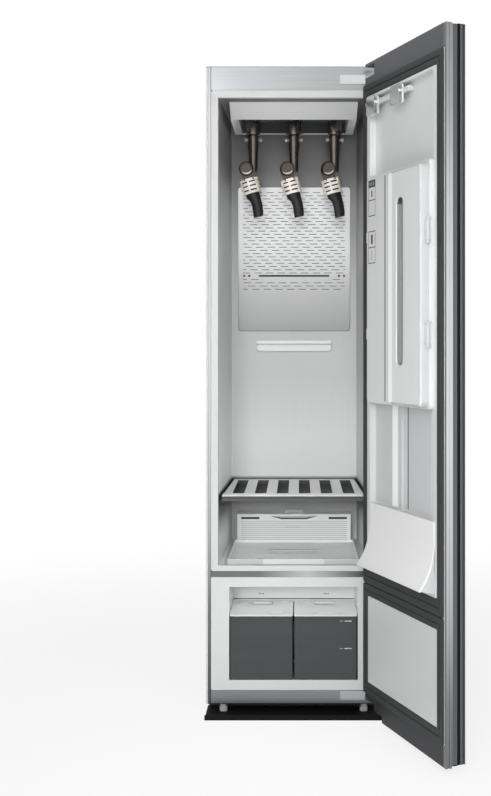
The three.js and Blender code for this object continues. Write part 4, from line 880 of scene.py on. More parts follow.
def smooth_group() -> bpy.types.NodeTree:
    """A modifier's node group that smooths a mesh except over its sharp edges, made once.

    Returns:
        The node group.
    """
    known = bpy.data.node_groups.get("smooth_by_angle")
    if known is not None:
        return known
    group = bpy.data.node_groups.new("smooth_by_angle", "GeometryNodeTree")
    for way in ("INPUT", "OUTPUT"):
        group.interface.new_socket("Geometry", in_out=way, socket_type="NodeSocketGeometry")
    entry = add_node(group, "NodeGroupInput")
    angle = add_node(group, "GeometryNodeInputMeshEdgeAngle")
    gentle = add_node(group, "FunctionNodeCompare", {"operation": "LESS_THAN", 1: SHARP_ANGLE},
                      {0: (angle, "Unsigned Angle")})
    edges = add_node(group, "GeometryNodeSetShadeSmooth", {"domain": "EDGE"},
                     {"Geometry": (entry, "Geometry"), "Shade Smooth": (gentle, "Result")})
    faces = add_node(group, "GeometryNodeSetShadeSmooth", {"domain": "FACE", "Shade Smooth": True},
                     {"Geometry": (edges, "Geometry")})
    add_node(group, "NodeGroupOutput", links={"Geometry": (faces, "Geometry")})
    return group


@dataclass
class SubAssembly:
    """What every sub-assembly does: dress the solids that stay, and hand over pieces of its own.

    Its dressing names each of those solids with its finish and the width of its broken edges in millimetres.
    """

    frame: dict[str, Any]
    dressing: ClassVar[dict[str, tuple[Finish, float]]] = {}

    def build(self) -> None:
        """Dresses the solids that stay."""
        for node, (finish, edge) in self.dressing.items():
            self.dress(node, finish, edge)

    def dress(self, node: str, finish: Finish, edge: float) -> None:
        """Gives a solid that stays its finish and breaks its sharp edges.

        Args:
            node: The solid's name.
            finish: Its finish.
            edge: The width of the broken edge in millimetres.
        """
        solid = self.frame["nodes"][node]
        solid.data.materials.clear()
        solid.data.materials.append(finish.material())
        solid.modifiers.new("weld", "WELD").merge_threshold = WELD_DISTANCE
        bevel = solid.modifiers.new("edges", "BEVEL")
        bevel.width = edge * MM
        bevel.segments = 2
        bevel.limit_method = "ANGLE"
        bevel.angle_limit = SHARP_ANGLE
        solid.modifiers.new("smooth", "NODES").node_group = smooth_group()
        self.level(solid)
        LOG.info("dressed %s with %s", node, finish.name)

    @staticmethod
    def level(piece: bpy.types.Object) -> None:
        """Lets large flat faces keep their shading where they meet a small round."""
        piece.modifiers.new("level", "WEIGHTED_NORMAL").keep_sharp = True

    def hand_over(self, skin: Skin, name: str, body: str, *finishes: Finish, node: str = "") -> None:
        """Makes a new piece and puts it on its body.

        Args:
            skin: Its mesh.
            name: Its name.
            body: The body that it moves with.
            finishes: The finishes that the faces' numbers stand for.
            node: The solid that it stands for, if there is one.
        """
        piece = skin.build(name, finishes)
        self.level(piece)
        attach(piece, body)
        if node:
            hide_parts(node)
        LOG.info("made %s on %s", piece.name, body)


def evenly(span: Span, count: int) -> list[float]:
    """Values at even steps from one end of a span to the other."""
    return [span[0] + step * (span[1] - span[0]) / (count - 1) for step in range(count)]


def screw(skin: Skin, centre: Point, radius: float, seat: float) -> None:
    """Adds a pan-head screw, whose cross recess has the second finish. Its head stands toward larger depths.

    Args:
        skin: The mesh that takes it.
        centre: Where it stands on the drawing plane.
        radius: The head's radius.
        seat: The depth of the face under the head.
    """
    height = 0.5 * radius
    skin.turned(centre, [(0, seat - 0.2), (radius, seat - 0.2), (radius, seat + 0.35 * height),
                         (0.8 * radius, seat + 0.8 * height), (0.45 * radius, seat + height), (0, seat + height)], 20)
    arm, half = 0.55 * radius, 0.13 * radius
    for across, upward in ((arm, half), (half, arm)):
        skin.tile(around(centre[0], across), around(centre[1], upward),
                  (seat + 0.9 * height, seat + 1.06 * height), 1)


@dataclass
class Carcass(SubAssembly):
    """Side panels, top, rear cover, base pan, feet and plinth."""

    dressing: ClassVar[dict[str, tuple[Finish, float]]] = {
        "side_panel_left": (SIDE_STEEL_PALE_FRONT, 1.2), "side_panel_right": (SIDE_STEEL_PALE_FRONT, 1.2), "top_panel": (SIDE_STEEL, 1.2),
        "rear_cover": (SIDE_STEEL, 0.4), "base_pan": (PAN_ZINC_SHADED_FRONT, 0.6), "plinth_strip": (PLINTH_ABS, 1.0),
        "mains_inlet": (BLACK_ABS, 0.8),
    }
    screw_radius: float = 4.0
    screw_seat: float = 579.6
    screw_half: float = 239.0
    screw_heights: Span = (54.0, 1821.2)
    screw_rows: int = 7
    top_screws: tuple[Point, ...] = ((-80.0, 1839.2), (80.0, 1839.2))
    skirt_half: float = 246.0
    skirt_y: Span = (124.0, 126.0)
    feet: tuple[tuple[float, float, float], ...] = (
        (-201.0, 76.0, 2.8), (201.0, 76.0, 2.8), (-201.0, 545.0, 0.0), (201.0, 545.0, 0.0))
    pad_profile: tuple[Point, ...] = ((0, 0), (10.6, 0), (11.4, 0.8), (11.4, 12.5), (10.2, 13.8), (6.84, 14.2))
    foot_top: float = 26.7
    skirt_low: float = 2.8
    thread: float = 1.5
    thread_depth: float = 0.7
    thread_end: float = 21.7
    nut: Span = (21.2, 26.4)
    nut_radius: float = 10.83

    def build(self) -> None:
        """Dresses the solids and adds the screws, a dark skirt behind the front feet that also paints the shade under
        the cabinet, and the feet.
        """
        super().build()
        self.rear_screws()
        skirt = Skin(FACING)
        skirt.tile(both_ways(self.skirt_half), (self.skirt_low, self.foot_top), self.skirt_y)
        self.hand_over(skirt, "plinth_skirt", "cabinet", DARK_ABS)
        for number, (x, y, low) in enumerate(self.feet, start=1):
            self.foot(number, (x, y), low)

    def rear_screws(self) -> None:
        """The screws that hold the rear cover, along its two sides and its top."""
        skin = Skin(FACING)
        sides = [(x, z) for z in evenly(self.screw_heights, self.screw_rows) for x in both_ways(self.screw_half)]
        for place in (*sides, *self.top_screws):
            screw(skin, place, self.screw_radius, self.screw_seat)
        self.hand_over(skin, "rear_cover_screws", "cabinet", BRIGHT_CHROME, DARK_INK)

    def foot(self, number: int, centre: Point, low: float) -> None:
        """A levelling foot: a round pad, a threaded stem and a hexagon nut under the pan.

        Args:
            number: The foot's number.
            centre: Where it stands.
            low: The height of its pad's underside.
        """
        skin = Skin(STANDING)
        profile = [(radius, low + height) for radius, height in self.pad_profile]
        stem, height = profile[-1]
        while height + self.thread < self.thread_end:
            profile += [(stem + self.thread_depth, height + self.thread / 2), (stem, height + self.thread)]
            height += self.thread
        skin.turned(centre, [*profile, (stem, self.foot_top), (0, self.foot_top)], 36)
        skin.prism(circle(centre, self.nut_radius, 6), self.nut)
        self.hand_over(skin, f"foot_{number}", "cabinet", FOOT_STEEL, node=f"levelling_foot_{number}")


@dataclass
class FrontFrame(SubAssembly):
    """The folded steel rails and strips around the openings, and the hinge plates on them."""

    dressing: ClassVar[dict[str, tuple[Finish, float]]] = {
        "top_rail": (RAIL_STEEL, 1.0), "divider_rail": (DIVIDER_STEEL_PAINTED_HIGHLIGHT, 1.0), "bottom_rail": (LOW_STEEL, 1.0),
        "front_strip_left": (STRIP_STEEL_PAINTED_REFLECTION, 1.0), "front_strip_right": (STRIP_STEEL_PAINTED_REFLECTION, 1.0),
        "hinge_plate_top": (BRIGHT_CHROME, 0.8), "hinge_plate_bottom": (RAIL_STEEL, 0.8),
    }


@dataclass
class CareCompartment(SubAssembly):
    """The liner, the slotted vent panel, the light bar, the shelf, the filter and the drip tray."""

    dressing: ClassVar[dict[str, tuple[Finish, float]]] = {
        "compartment_liner": (LINER_STEEL_PAINTED_LIGHT, 1.5), "shelf": (SHELF_STEEL_PAINTED_SHADE, 1.0), "filter_housing": (TRAY_ABS_PAINTED_LIGHT, 1.0),
        "filter_frame": (GREY_ABS, 0.8), "floor_tray": (TRAY_ABS_PAINTED_LIGHT, 1.5),
    }
    panel_half: float = 181.0
    panel_height: Span = (1097.0, 1562.0)
    panel_front: float = 505.7
    panel_back: float = 512.7
    panel_round: float = 9.0
    panel_edge: float = 2.5
    field_half: float = 170.0
    field_height: Span = (1226.0, 1552.0)
    dash_length: float = 24.0
    least_dash: float = 5.0
    dash_pitch: float = 37.6
    dash_height: float = 2.1
    dash_shift: float = 13.5
    row_pitch: float = 10.4
    row_top: float = 1545.0
    dash_half: float = 165.0
    pocket: float = 4.0
    long_height: Span = (1272.4, 1278.8)
    long_slots: tuple[Span, ...] = ((-165.0, -158.0), (-149.0, -141.0), (-114.0, 114.0), (141.0, 149.0),
                                    (158.0, 165.0))
    rows_below: int = 4
    below_rise: float = 1.5
    below_gap: float = 122.0
    bar_half: float = 122.0
    bars: tuple[tuple[str, Finish, Span, float, float, float], ...] = (
        ("light_bar_housing", WHITE_ABS, (1055.5, 1067.0), 5.0, 3.0, 500.7),
        ("light_bar_lens", PANEL_ABS, (1031.0, 1054.5), 9.0, 4.0, 499.7))
    nosing_half: float = 206.0
    nosing_heights: tuple[Span, Span] = ((611.2, 618.4), (604.3, 611.0))
    nosing_front: float = 76.2
    nosing_back: float = 78.6
    nosing_edge: float = 1.4
    nosing_round: float = 1.8
    cap_height: Span = (618.9, 619.9)
    cap_y: Span = (77.4, 132.0)
    cover_half: float = 179.0
    cover_height: Span = (425.0, 514.0)
    cover_front: float = 441.0
    cover_back: float = 442.9
    cover_round: float = 6.0
    cover_edge: float = 1.2
    rib_field: tuple[Span, Span] = ((-173.0, 173.0), (430.0, 509.0))
    rib_low: float = 433.0
    rib_high: float = 496.0
    rib_depth: float = 0.9
    rib_pitch: float = 6.4
    rib_groove: float = 2.4
    inlet_height: Span = (499.0, 506.0)
    inlet: Span = (110.0, 168.0)
    grip: tuple[Point, ...] = ((-76.0, 509.0), (76.0, 509.0), (40.0, 500.0), (-40.0, 500.0))
    grip_lip: tuple[Point, ...] = ((-76.0, 509.0), (-71.0, 509.0), (-38.0, 503.5), (38.0, 503.5), (71.0, 509.0),
                                   (76.0, 509.0), (40.0, 499.0), (-40.0, 499.0))
    grip_depths: Span = (440.85, 441.4)
    print_depths: Span = (440.8, 441.4)
    dots: tuple[Span, ...] = ((-24.0, -18.0), (-14.0, -8.0), (-4.0, 2.0), (6.0, 12.0), (16.0, 22.0))
    dot_height: Span = (472.5, 475.0)
    strip_half: float = 78.0
    strip_y: Span = (206.0, 222.0)
    strip_round: float = 6.0
    strip_profile: tuple[Point, ...] = ((0, 439.9), (0, 440.5), (0.6, 441.1))
    pull_half: float = 88.0
    pull_height: Span = (424.5, 440.2)
    pull_depths: Span = (65.2, 68.2)
    pull_round: float = 1.5
    pull_edge: float = 1.0

    def build(self) -> None:
        """Dresses the solids and makes the vent panel, the light bar and the trims of shelf, filter and tray."""
        super().build()
        self.vent_panel()
        self.light_bar()
        self.shelf_nosing()
        self.filter_cover()
        self.tray_strip()

    def shelf_nosing(self) -> None:
        """A dark extruded strip along the shelf's front edge, a grey one under it and a pale cap folded over it."""
        skin, span = Skin(FACING), both_ways(self.nosing_half)
        profile = [(0, self.nosing_back), *roll(self.nosing_edge, self.nosing_front, self.nosing_back, 3)]
        for coat, height in enumerate(self.nosing_heights):
            skin.cushion(span, height, self.nosing_round, profile, coat)
        skin.tile(span, self.cap_height, self.cap_y, 2)
        self.hand_over(skin, "shelf_nosing", "shelf", DARK_AND_SHADE_ABS, EDGE_ABS, BRIGHT_ABS)

    @staticmethod
    def panel(skin: Skin, outer: tuple[Span, Span], corner: float, edge: float, depths: Span) -> list[int]:
        """Adds the back and the rolled edge of a panel.

        Args:
            skin: The mesh that takes them.
            outer: The panel's two ends, its foot and its head.
            corner: The radius of its corners.
            edge: The radius of its rolled edge.
            depths: The depths of its face and its back.

        Returns:
            The ring around its face.
        """
        front, back = depths
        rings = skin.rims(*outer, corner, [(0, back), *roll(edge, front, back, 3)])
        skin.cap(rings[0])
        skin.stack(rings)
        return rings[-1]

    def filter_cover(self) -> None:
        """The filter's cover: fine grooves and two inlets at its top, painted darker as shade, and a grip between
        them.
        """
        skin, front = Skin(FACING), self.cover_front
        edge = self.panel(skin, (both_ways(self.cover_half), self.cover_height), self.cover_round, self.cover_edge,
                          (front, self.cover_back))
        near, far = self.inlet
        rows = []
        low = self.rib_low
        while low + self.rib_groove < self.rib_high:
            rows.append(((low, low + self.rib_groove), [both_ways(far)]))
            low += self.rib_pitch
        # Painted shade: the groove floors are grey and the inlets are flat dark tiles.
        skin.cap(edge, [skin.pockets(*self.rib_field, front, rows, front + self.rib_depth, 1)])
        for inlet in ((-far, -near), (near, far)):
            skin.tile(inlet, self.inlet_height, self.print_depths, 2)
        skin.prism(self.grip, self.grip_depths, 1)
        skin.prism(self.grip_lip, self.print_depths, 2)
        for dot in self.dots:
            skin.tile(dot, self.dot_height, self.print_depths, 1)
        self.hand_over(skin, "filter_cover", "cabinet", TRAY_ABS_PAINTED_LIGHT, GREY_ABS, DARK_AND_SHADE_ABS)

    def tray_strip(self) -> None:
        """A narrow grip strip that lies on the drip tray, and a grey pull in the notch of its front lip."""
        strip = Skin(STANDING)
        strip.cushion(both_ways(self.strip_half), self.strip_y, self.strip_round, self.strip_profile)
        self.hand_over(strip, "tray_grip_strip", "tray", GREY_ABS)
        pull, (front, back) = Skin(FACING), self.pull_depths
        pull.cushion(both_ways(self.pull_half), self.pull_height, self.pull_round,
                     [(0, back), *roll(self.pull_edge, front, back, 3)])
        self.hand_over(pull, "tray_pull", "tray", GREY_ABS)

    def slot_rows(self) -> list[tuple[Span, list[Span]]]:
        """The rows of louvre slots from the lowest up, each with its height and its slots.

        Returns:
            The height of each row and the spans of its slots.
        """
        half, count = self.dash_height / 2, int((self.row_top - self.long_height[1]) / self.row_pitch + 0.5)
        rows = [(around(self.row_top - row * self.row_pitch, half), self.dashes(row)) for row in range(count)]
        rows.append((self.long_height, list(self.long_slots)))
        for below in range(1, self.rows_below + 1):
            gap = self.below_gap if below == 1 else 0
            slots = [slot for slot in self.dashes(count + below) if abs(sum(slot)) / 2 > gap or not gap]
            rows.append((around(self.long_height[0] - below * self.row_pitch + self.below_rise, half), slots))
        return rows[::-1]

    def dashes(self, row: int) -> list[Span]:
        """The slots of a row. Each row starts a little farther on than the one above it.

        Args:
            row: The row's number, from the top.

        Returns:
            The spans of its slots.
        """
        start = -self.dash_half + (row * self.dash_shift) % self.dash_pitch - self.dash_pitch
        slots = []
        while start < self.dash_half:
            low, high = max(start, -self.dash_half), min(start + self.dash_length, self.dash_half)
            if high - low > self.least_dash:
                slots.append((low, high))
            start += self.dash_pitch
        return slots

    def vent_panel(self) -> None:
        """A moulded panel with a rolled edge and rows of louvre slots, whose dark floors are painted shade."""
        skin, front = Skin(FACING), self.panel_front
        edge = self.panel(skin, (both_ways(self.panel_half), self.panel_height), self.panel_round,
                          self.panel_edge, (front, self.panel_back))
        skin.cap(edge, [skin.pockets(both_ways(self.field_half), self.field_height, front, self.slot_rows(),
                                     front + self.pocket, 1)])
        self.hand_over(skin, "vent_louvre_panel", "cabinet", VENT_ABS_SHADED, DARK_AND_SHADE_ABS, node="vent_panel")

    def light_bar(self) -> None:
        """A moulded bar: a narrow housing strip above and the frosted lens below it."""
        for name, finish, height, corner, edge, front in self.bars:
            skin = Skin(FACING)
            skin.cushion(both_ways(self.bar_half), height, corner,
                         [(0, self.panel_back), *roll(edge, front, self.panel_back)])
            self.hand_over(skin, name, "cabinet", finish, node="light_bar")


@dataclass
class HangerUnit(SubAssembly):
    """The ceiling cover with its steam manifold and the three nozzles: socket, arm and spout."""

    dressing: ClassVar[dict[str, tuple[Finish, float]]] = {
        "hanger_unit_cover": (WHITE_ABS, 1.5), "steam_manifold": (DARK_ABS, 0.8),
    }
    pitch: float = 125.0
    axis_y: float = 316.0
    socket_profile: tuple[Point, ...] = (
        (17.0, 1697.9), (20.5, 1697.9), (22.0, 1699.4), (22.0, 1702.4), (20.8, 1703.2), (20.8, 1704.4),
        (21.8, 1705.2), (21.8, 1742.8), (20.5, 1744.3), (17.0, 1744.3))
    pipe_profile: tuple[Point, ...] = (
        (0, 1727.3), (14.0, 1727.3), (14.0, 1697.3), (16.0, 1696.9), (17.2, 1694.3), (17.2, 1689.3), (16.0, 1687.3),
        (16.0, 1663.3), (15.0, 1647.3), (13.6, 1631.3), (13.6, 1594.9), (10.6, 1582.9), (0, 1580.9))
    elbow_offset: float = 20.0
    elbow_z: float = 1590.9
    elbow_profile: tuple[Point, ...] = (
        (0, 336.0), (19.6, 336.0), (21.6, 334.0), (21.6, 299.0), (20.6, 297.0), (18.6, 296.0), (17.1, 296.0),
        (16.4, 297.0), (15.6, 297.0), (14.4, 294.0), (6.5, 294.0), (5.5, 294.8), (0, 294.8))
    knob_profile: tuple[Point, ...] = (
        (0, -28.0), (3.6, -27.4), (5.6, -25.8), (6.2, -23.2), (5.6, -20.6), (3.4, -18.6), (2.4, -14.0))
    knob_z: float = 1682.6
    tilt: float = 13.0
    core_profile: tuple[Point, ...] = ((0, 32.0), (23.0, 32.0), (25.5, 35.0), (25.5, 70.0), (21.0, 74.0), (0, 74.0))
    bands: tuple[Point, ...] = ((29.0, 34.0), (29.8, 34.0 + 38.0 / 3), (29.8, 34.0 + 76.0 / 3), (29.0, 72.0))
    band_section: tuple[Point, ...] = ((-6.0, -3.2), (-1.0, -4.4), (0.0, -3.2), (0.0, 3.2), (-1.0, 4.4), (-6.0, 3.2))
    band_rise: float = 1.5
    staves: int = 6
    stave_turn: float = 0.35
    stave_place: float = 26.8
    stave_radius: float = 3.2
    stave_depths: Span = (34.0, 71.0)
    spout_ovals: tuple[tuple[float, float, float, float], ...] = (
        (20, 18, 0, 68), (22, 19, 1, 79), (21, 18, 2, 88), (17, 15, 6, 98), (16, 13, 7, 114), (16, 10, 5.5, 132),
        (15, 7.5, 3.5, 147), (13, 6, 3.5, 149))
    cheek_y: float = 24.4
    cheek_half: float = 1.9
    cheek_foot: Span = (15.0, 36.0)
    disc_radius: float = 22.4
    dish_profile: tuple[Point, ...] = ((22.1, -25.7), (22.4, -26.9), (21.2, -28.0), (19.4, -27.9), (17.9, -26.7),
                                       (10.0, -25.5), (5.5, -25.0))
    crescent_radius: float = 16.9
    crescent_squash: Point = (0.62, 1.4)
    crescent_depths: Span = (-24.9, -26.9)
    recess_half: float = 163.0
    recess_walls: tuple[tuple[Span, Span], ...] = (
        ((1726.0, 1759.0), (444.4, 445.8)), ((1759.2, 1760.4), (361.8, 445.8)))

    def build(self) -> None:
        """Dresses the cover and the manifold and makes the nozzles."""
        super().build()
        self.recess_shade_panel()
        for side, x in zip(Side, (-self.pitch, 0.0, self.pitch)):
            self.socket(side, x)
            self.arm(side, x)
            self.knobs(side, x)
            self.spout(side, x)

    def recess_shade_panel(self) -> None:
        """A dark panel behind and above the sockets, inside the cover: painted shade for the dim recess there."""
        skin = Skin(FACING)
        for height, depths in self.recess_walls:
            skin.tile(both_ways(self.recess_half), height, depths)
        self.hand_over(skin, "hanger_recess_shield", "cabinet", DARK_AND_SHADE_ABS)

    def socket(self, side: Side, x: float) -> None:
        """A turned chrome collar with a rolled foot and a dark joint line above it.

        Args:
            side: Which nozzle it belongs to.
            x: Where the nozzle's axis stands.
        """
        skin = Skin(STANDING)
        skin.turned((x, self.axis_y), self.socket_profile, 48)
        self.hand_over(skin, f"socket_collar_{side.value}", "cabinet", SOCKET_CHROME,
                       node=f"nozzle_socket_{side.value}")

    def arm(self, side: Side, x: float) -> None:
        """A pipe that narrows downward into a round elbow, whose face shows a turned cap.

        Args:
            side: Which nozzle it belongs to.
            x: Where the nozzle's axis stands.
        """
        pipe, elbow = Skin(STANDING), Skin(FACING)
        pipe.turned((x, self.axis_y), self.pipe_profile, 48)
        elbow.turned((x - self.elbow_offset, self.elbow_z), self.elbow_profile, 48)
        body = f"nozzle_arm_{side.value}"
        self.hand_over(pipe, f"arm_pipe_{side.value}", body, DARK_CHROME, node=body)
        self.hand_over(elbow, f"arm_elbow_{side.value}", body, DISC_CHROME, node=body)

    def knobs(self, side: Side, x: float) -> None:
        """The retainer pin through the arm: two pale round heads beside the pipe.

        Args:
            side: Which nozzle it belongs to.
            x: Where the nozzle's axis stands.
        """
        skin = Skin(ACROSS)
        profile = [*self.knob_profile, *[(radius, -depth) for radius, depth in reversed(self.knob_profile)]]
        skin.turned((self.axis_y, self.knob_z), [(radius, x + depth) for radius, depth in profile], 24)
        self.hand_over(skin, f"arm_pin_{side.value}", f"nozzle_arm_{side.value}", PIN_CHROME_AND_HIGHLIGHT)

    def spout_plane(self, x: float) -> Matrix:
        """The drawing plane whose depth runs down the tilted spout from the elbow's axis."""
        pivot = Vector((x - self.elbow_offset, self.axis_y, self.elbow_z)) * MM
        return Matrix.Translation(pivot) @ Matrix.Rotation(-math.radians(self.tilt), 4, "Y") @ DOWNWARD

    def spout(self, side: Side, x: float) -> None:
        """A fork on the elbow, a collar of bright bands that rise to the right, and a black spout.

        Args:
            side: Which nozzle it belongs to.
            x: Where the nozzle's axis stands.
        """
        core, bands, fork = (Skin(self.spout_plane(x)) for _ in range(3))
        core.turned((0, 0), self.core_profile, 48)
        core.solid([core.ring(self.oval(wide, deep, shift), depth) for wide, deep, shift, depth in self.spout_ovals])
        for radius, middle in self.bands:
            self.band(bands, middle, radius)
        for number in range(self.staves):
            self.stave(bands, 2 * math.pi * (number + self.stave_turn) / self.staves)
        for y in both_ways(self.cheek_y):
            self.cheek(fork, y)
        self.dish(fork)
        self.crescent(fork)
        body = f"nozzle_spout_{side.value}"
        self.hand_over(core, f"spout_tube_{side.value}", body, SPOUT_ABS, node=body)
        self.hand_over(bands, f"spout_bands_{side.value}", body, BAND_CHROME, node=body)
        self.hand_over(fork, f"spout_fork_{side.value}", body, DISC_CHROME, RIM_CHROME_PAINTED_SHADE, PIN_CHROME_AND_HIGHLIGHT, node=body)

    @staticmethod
    def oval(wide: float, deep: float, shift: float) -> list[Point]:
        """Points around an oval that stands a little to the right of the axis."""
        return [(shift + wide * a, deep * b) for a, b in circle((0, 0), 1, 36)]

    def cheek(self, skin: Skin, y: float) -> None:
        """One cheek of the fork, a flat lug with a round head over the elbow.

        Args:
            skin: The mesh that takes it.
            y: Where its middle plane stands.
        """
        half, foot = self.cheek_foot
        outline = [*arc((0, 0), self.disc_radius, 150, 240, 32), (half, foot), (-half, foot)]
        skin.solid([self.upright_ring(skin, outline, depth) for depth in around(y, self.cheek_half)])

    def dish(self, skin: Skin) -> None:
        """The dished cap on the front cheek, with a dark rim that is painted shade.

        Args:
            skin: The mesh that takes it.
        """
        rings = [self.upright_ring(skin, circle((0, 0), radius, 40), depth) for radius, depth in self.dish_profile]
        skin.cap(rings[0])
        skin.stack(rings[:4], 1)
        skin.stack(rings[3:])
        skin.cap(rings[-1])

    def crescent(self, skin: Skin) -> None:
        """A bright crescent in the lower half of the dish, a painted highlight.

        Args:
            skin: The mesh that takes it.
        """
        outer, (squash, drop) = arc((0, 0), self.crescent_radius, 25, 130, 16), self.crescent_squash
        outline = [*outer, *[(a, squash * b + drop) for a, b in reversed(outer)]]
        skin.solid([self.upright_ring(skin, outline, depth) for depth in self.crescent_depths], 2)

    @staticmethod
    def upright_ring(skin: Skin, outline: Iterable[Point], y: float) -> list[int]:
        """Adds points given across and down the spout, at one distance to the front or back."""
        return skin.place((a, y, down) for a, down in outline)

    def band(self, skin: Skin, middle: float, radius: float) -> None:
        """One band of the collar. It rises to the right as it goes round.

        Args:
            skin: The mesh that takes it.
            middle: Its place along the spout.
            radius: Its radius.
        """
        rings = []
        for a, b in circle((0, 0), 1, 48):
            rings.append(skin.place(((radius + out) * a, (radius + out) * b, middle - self.band_rise * a + down)
                                    for out, down in self.band_section))
        skin.stack([*rings, rings[0]])

    def stave(self, skin: Skin, angle: float) -> None:
        """One upright stave that joins the bands.

        Args:
            skin: The mesh that takes it.
            angle: Where it stands around the spout, in radians.
        """
        middle = (self.stave_place * math.cos(angle), self.stave_place * math.sin(angle))
        rise = -self.band_rise * math.cos(angle)
        skin.prism(circle(middle, self.stave_radius, 10), [depth + rise for depth in self.stave_depths])


@dataclass
class TankBay(SubAssembly):
    """The bay moulding and the two smoked tanks with their lids."""

    dressing: ClassVar[dict[str, tuple[Finish, float]]] = {
        "tank_bay_frame": (BAY_ABS_PAINTED_LIGHT, 1.5), "tank_left": (TANK_SAN, 1.2), "tank_lid_left": (LID_ABS_PAINTED_LIGHT, 1.0),
        "tank_right": (TANK_SAN, 1.2), "tank_lid_right": (LID_ABS_PAINTED_LIGHT, 1.0),
    }
    tank_depths: Span = (56.65, 56.9)
    tick_x: Span = (133.0, 141.0)
    tick_heights: Span = (264.0, 185.6)
    tick_half: float = 0.6
    label_x: float = 146.0
    label_bars: tuple[int, float, float] = (5, 4.2, 2.8)
    label_halves: Span = (1.5, 1.9)
    mark_x: Span = (-107.0, 89.0)
    mark_bars: tuple[int, float, float] = (4, 4.6, 3.0)
    mark_halves: Span = (1.4, 2.0)
    mark_z: float = 301.0
    bay_depths: Span = (255.85, 256.1)
    line: tuple[Span, Span] = ((-183.0, 183.0), (284.6, 287.4))

    def build(self) -> None:
        """Dresses the bay, the tanks and the lids, prints their marks and paints a shadow line behind the lids."""
        super().build()
        ticks = Skin(FACING)
        for z in self.tick_heights:
            ticks.tile(self.tick_x, around(z, self.tick_half), self.tank_depths)
            self.label(ticks, (self.label_x, z), self.label_bars, self.label_halves, self.tank_depths)
        self.hand_over(ticks, "tank_level_ticks", "tank_right", PALE_INK)
        marks = Skin(FACING)
        for start in self.mark_x:
            self.label(marks, (start, self.mark_z), self.mark_bars, self.mark_halves, self.bay_depths)
        # Painted shadow: a dark line across the bay's back wall where it meets the lids.
        marks.tile(*self.line, self.bay_depths, 1)
        self.hand_over(marks, "bay_marks", "cabinet", GREY_INK, DARK_AND_SHADE_ABS)

    @staticmethod
    def label(skin: Skin, start: Point, bars: tuple[int, float, float], halves: Span, depths: Span) -> None:
        """Prints a row of short plain bars.

        Args:
            skin: The mesh that takes them.
            start: The left end of the row and its middle height.
            bars: How many there are, their pitch and their width.
            halves: Half the height of the first bar and of the second, which take turns.
            depths: The print's two faces.
        """
        count, pitch, width = bars
        for at in range(count):
            low = start[0] + at * pitch
            skin.tile((low, low + width), around(start[1], halves[at % 2]), depths)


@dataclass
class MachineRoom(SubAssembly):
    """The machines on the base pan and the blower under the compartment floor."""

    dressing: ClassVar[dict[str, tuple[Finish, float]]] = {
        "steam_generator": (PAN_ZINC_SHADED_FRONT, 1.0), "compressor": (COMPRESSOR_STEEL, 1.0),
        "heat_exchanger": (FIN_ALUMINIUM, 0.4), "blower_housing": (DARK_ABS, 1.0), "fan_impeller": (DARK_ABS, 0.4),
    }


@dataclass
class DoorPart(SubAssembly):
    """What the door's sub-assemblies share: the drawing plane of the shut door, turned to where it stands."""

    hinge_edge: float = 248.0
    inner_face: float = 48.0

    def plane(self) -> Matrix:
        """Takes (distance from the hinge edge, height, distance inward of the inner face) into the room.

        Returns:
            The matrix that does so.
        """
        hinge = next(joint for joint in self.frame["joints"] if joint["name"] == "door_hinge")
        pivot = Vector(hinge["pos_m"])
        opened = Matrix.Rotation(math.radians(-hinge["range_deg"][0]), 4, "Z")
        shut = Matrix(((-1, 0, 0, self.hinge_edge * MM), (0, 0, 1, self.inner_face * MM), (0, 1, 0, 0),
                       (0, 0, 0, 1)))
        return Matrix.Translation(pivot) @ opened @ Matrix.Translation(-pivot) @ shut


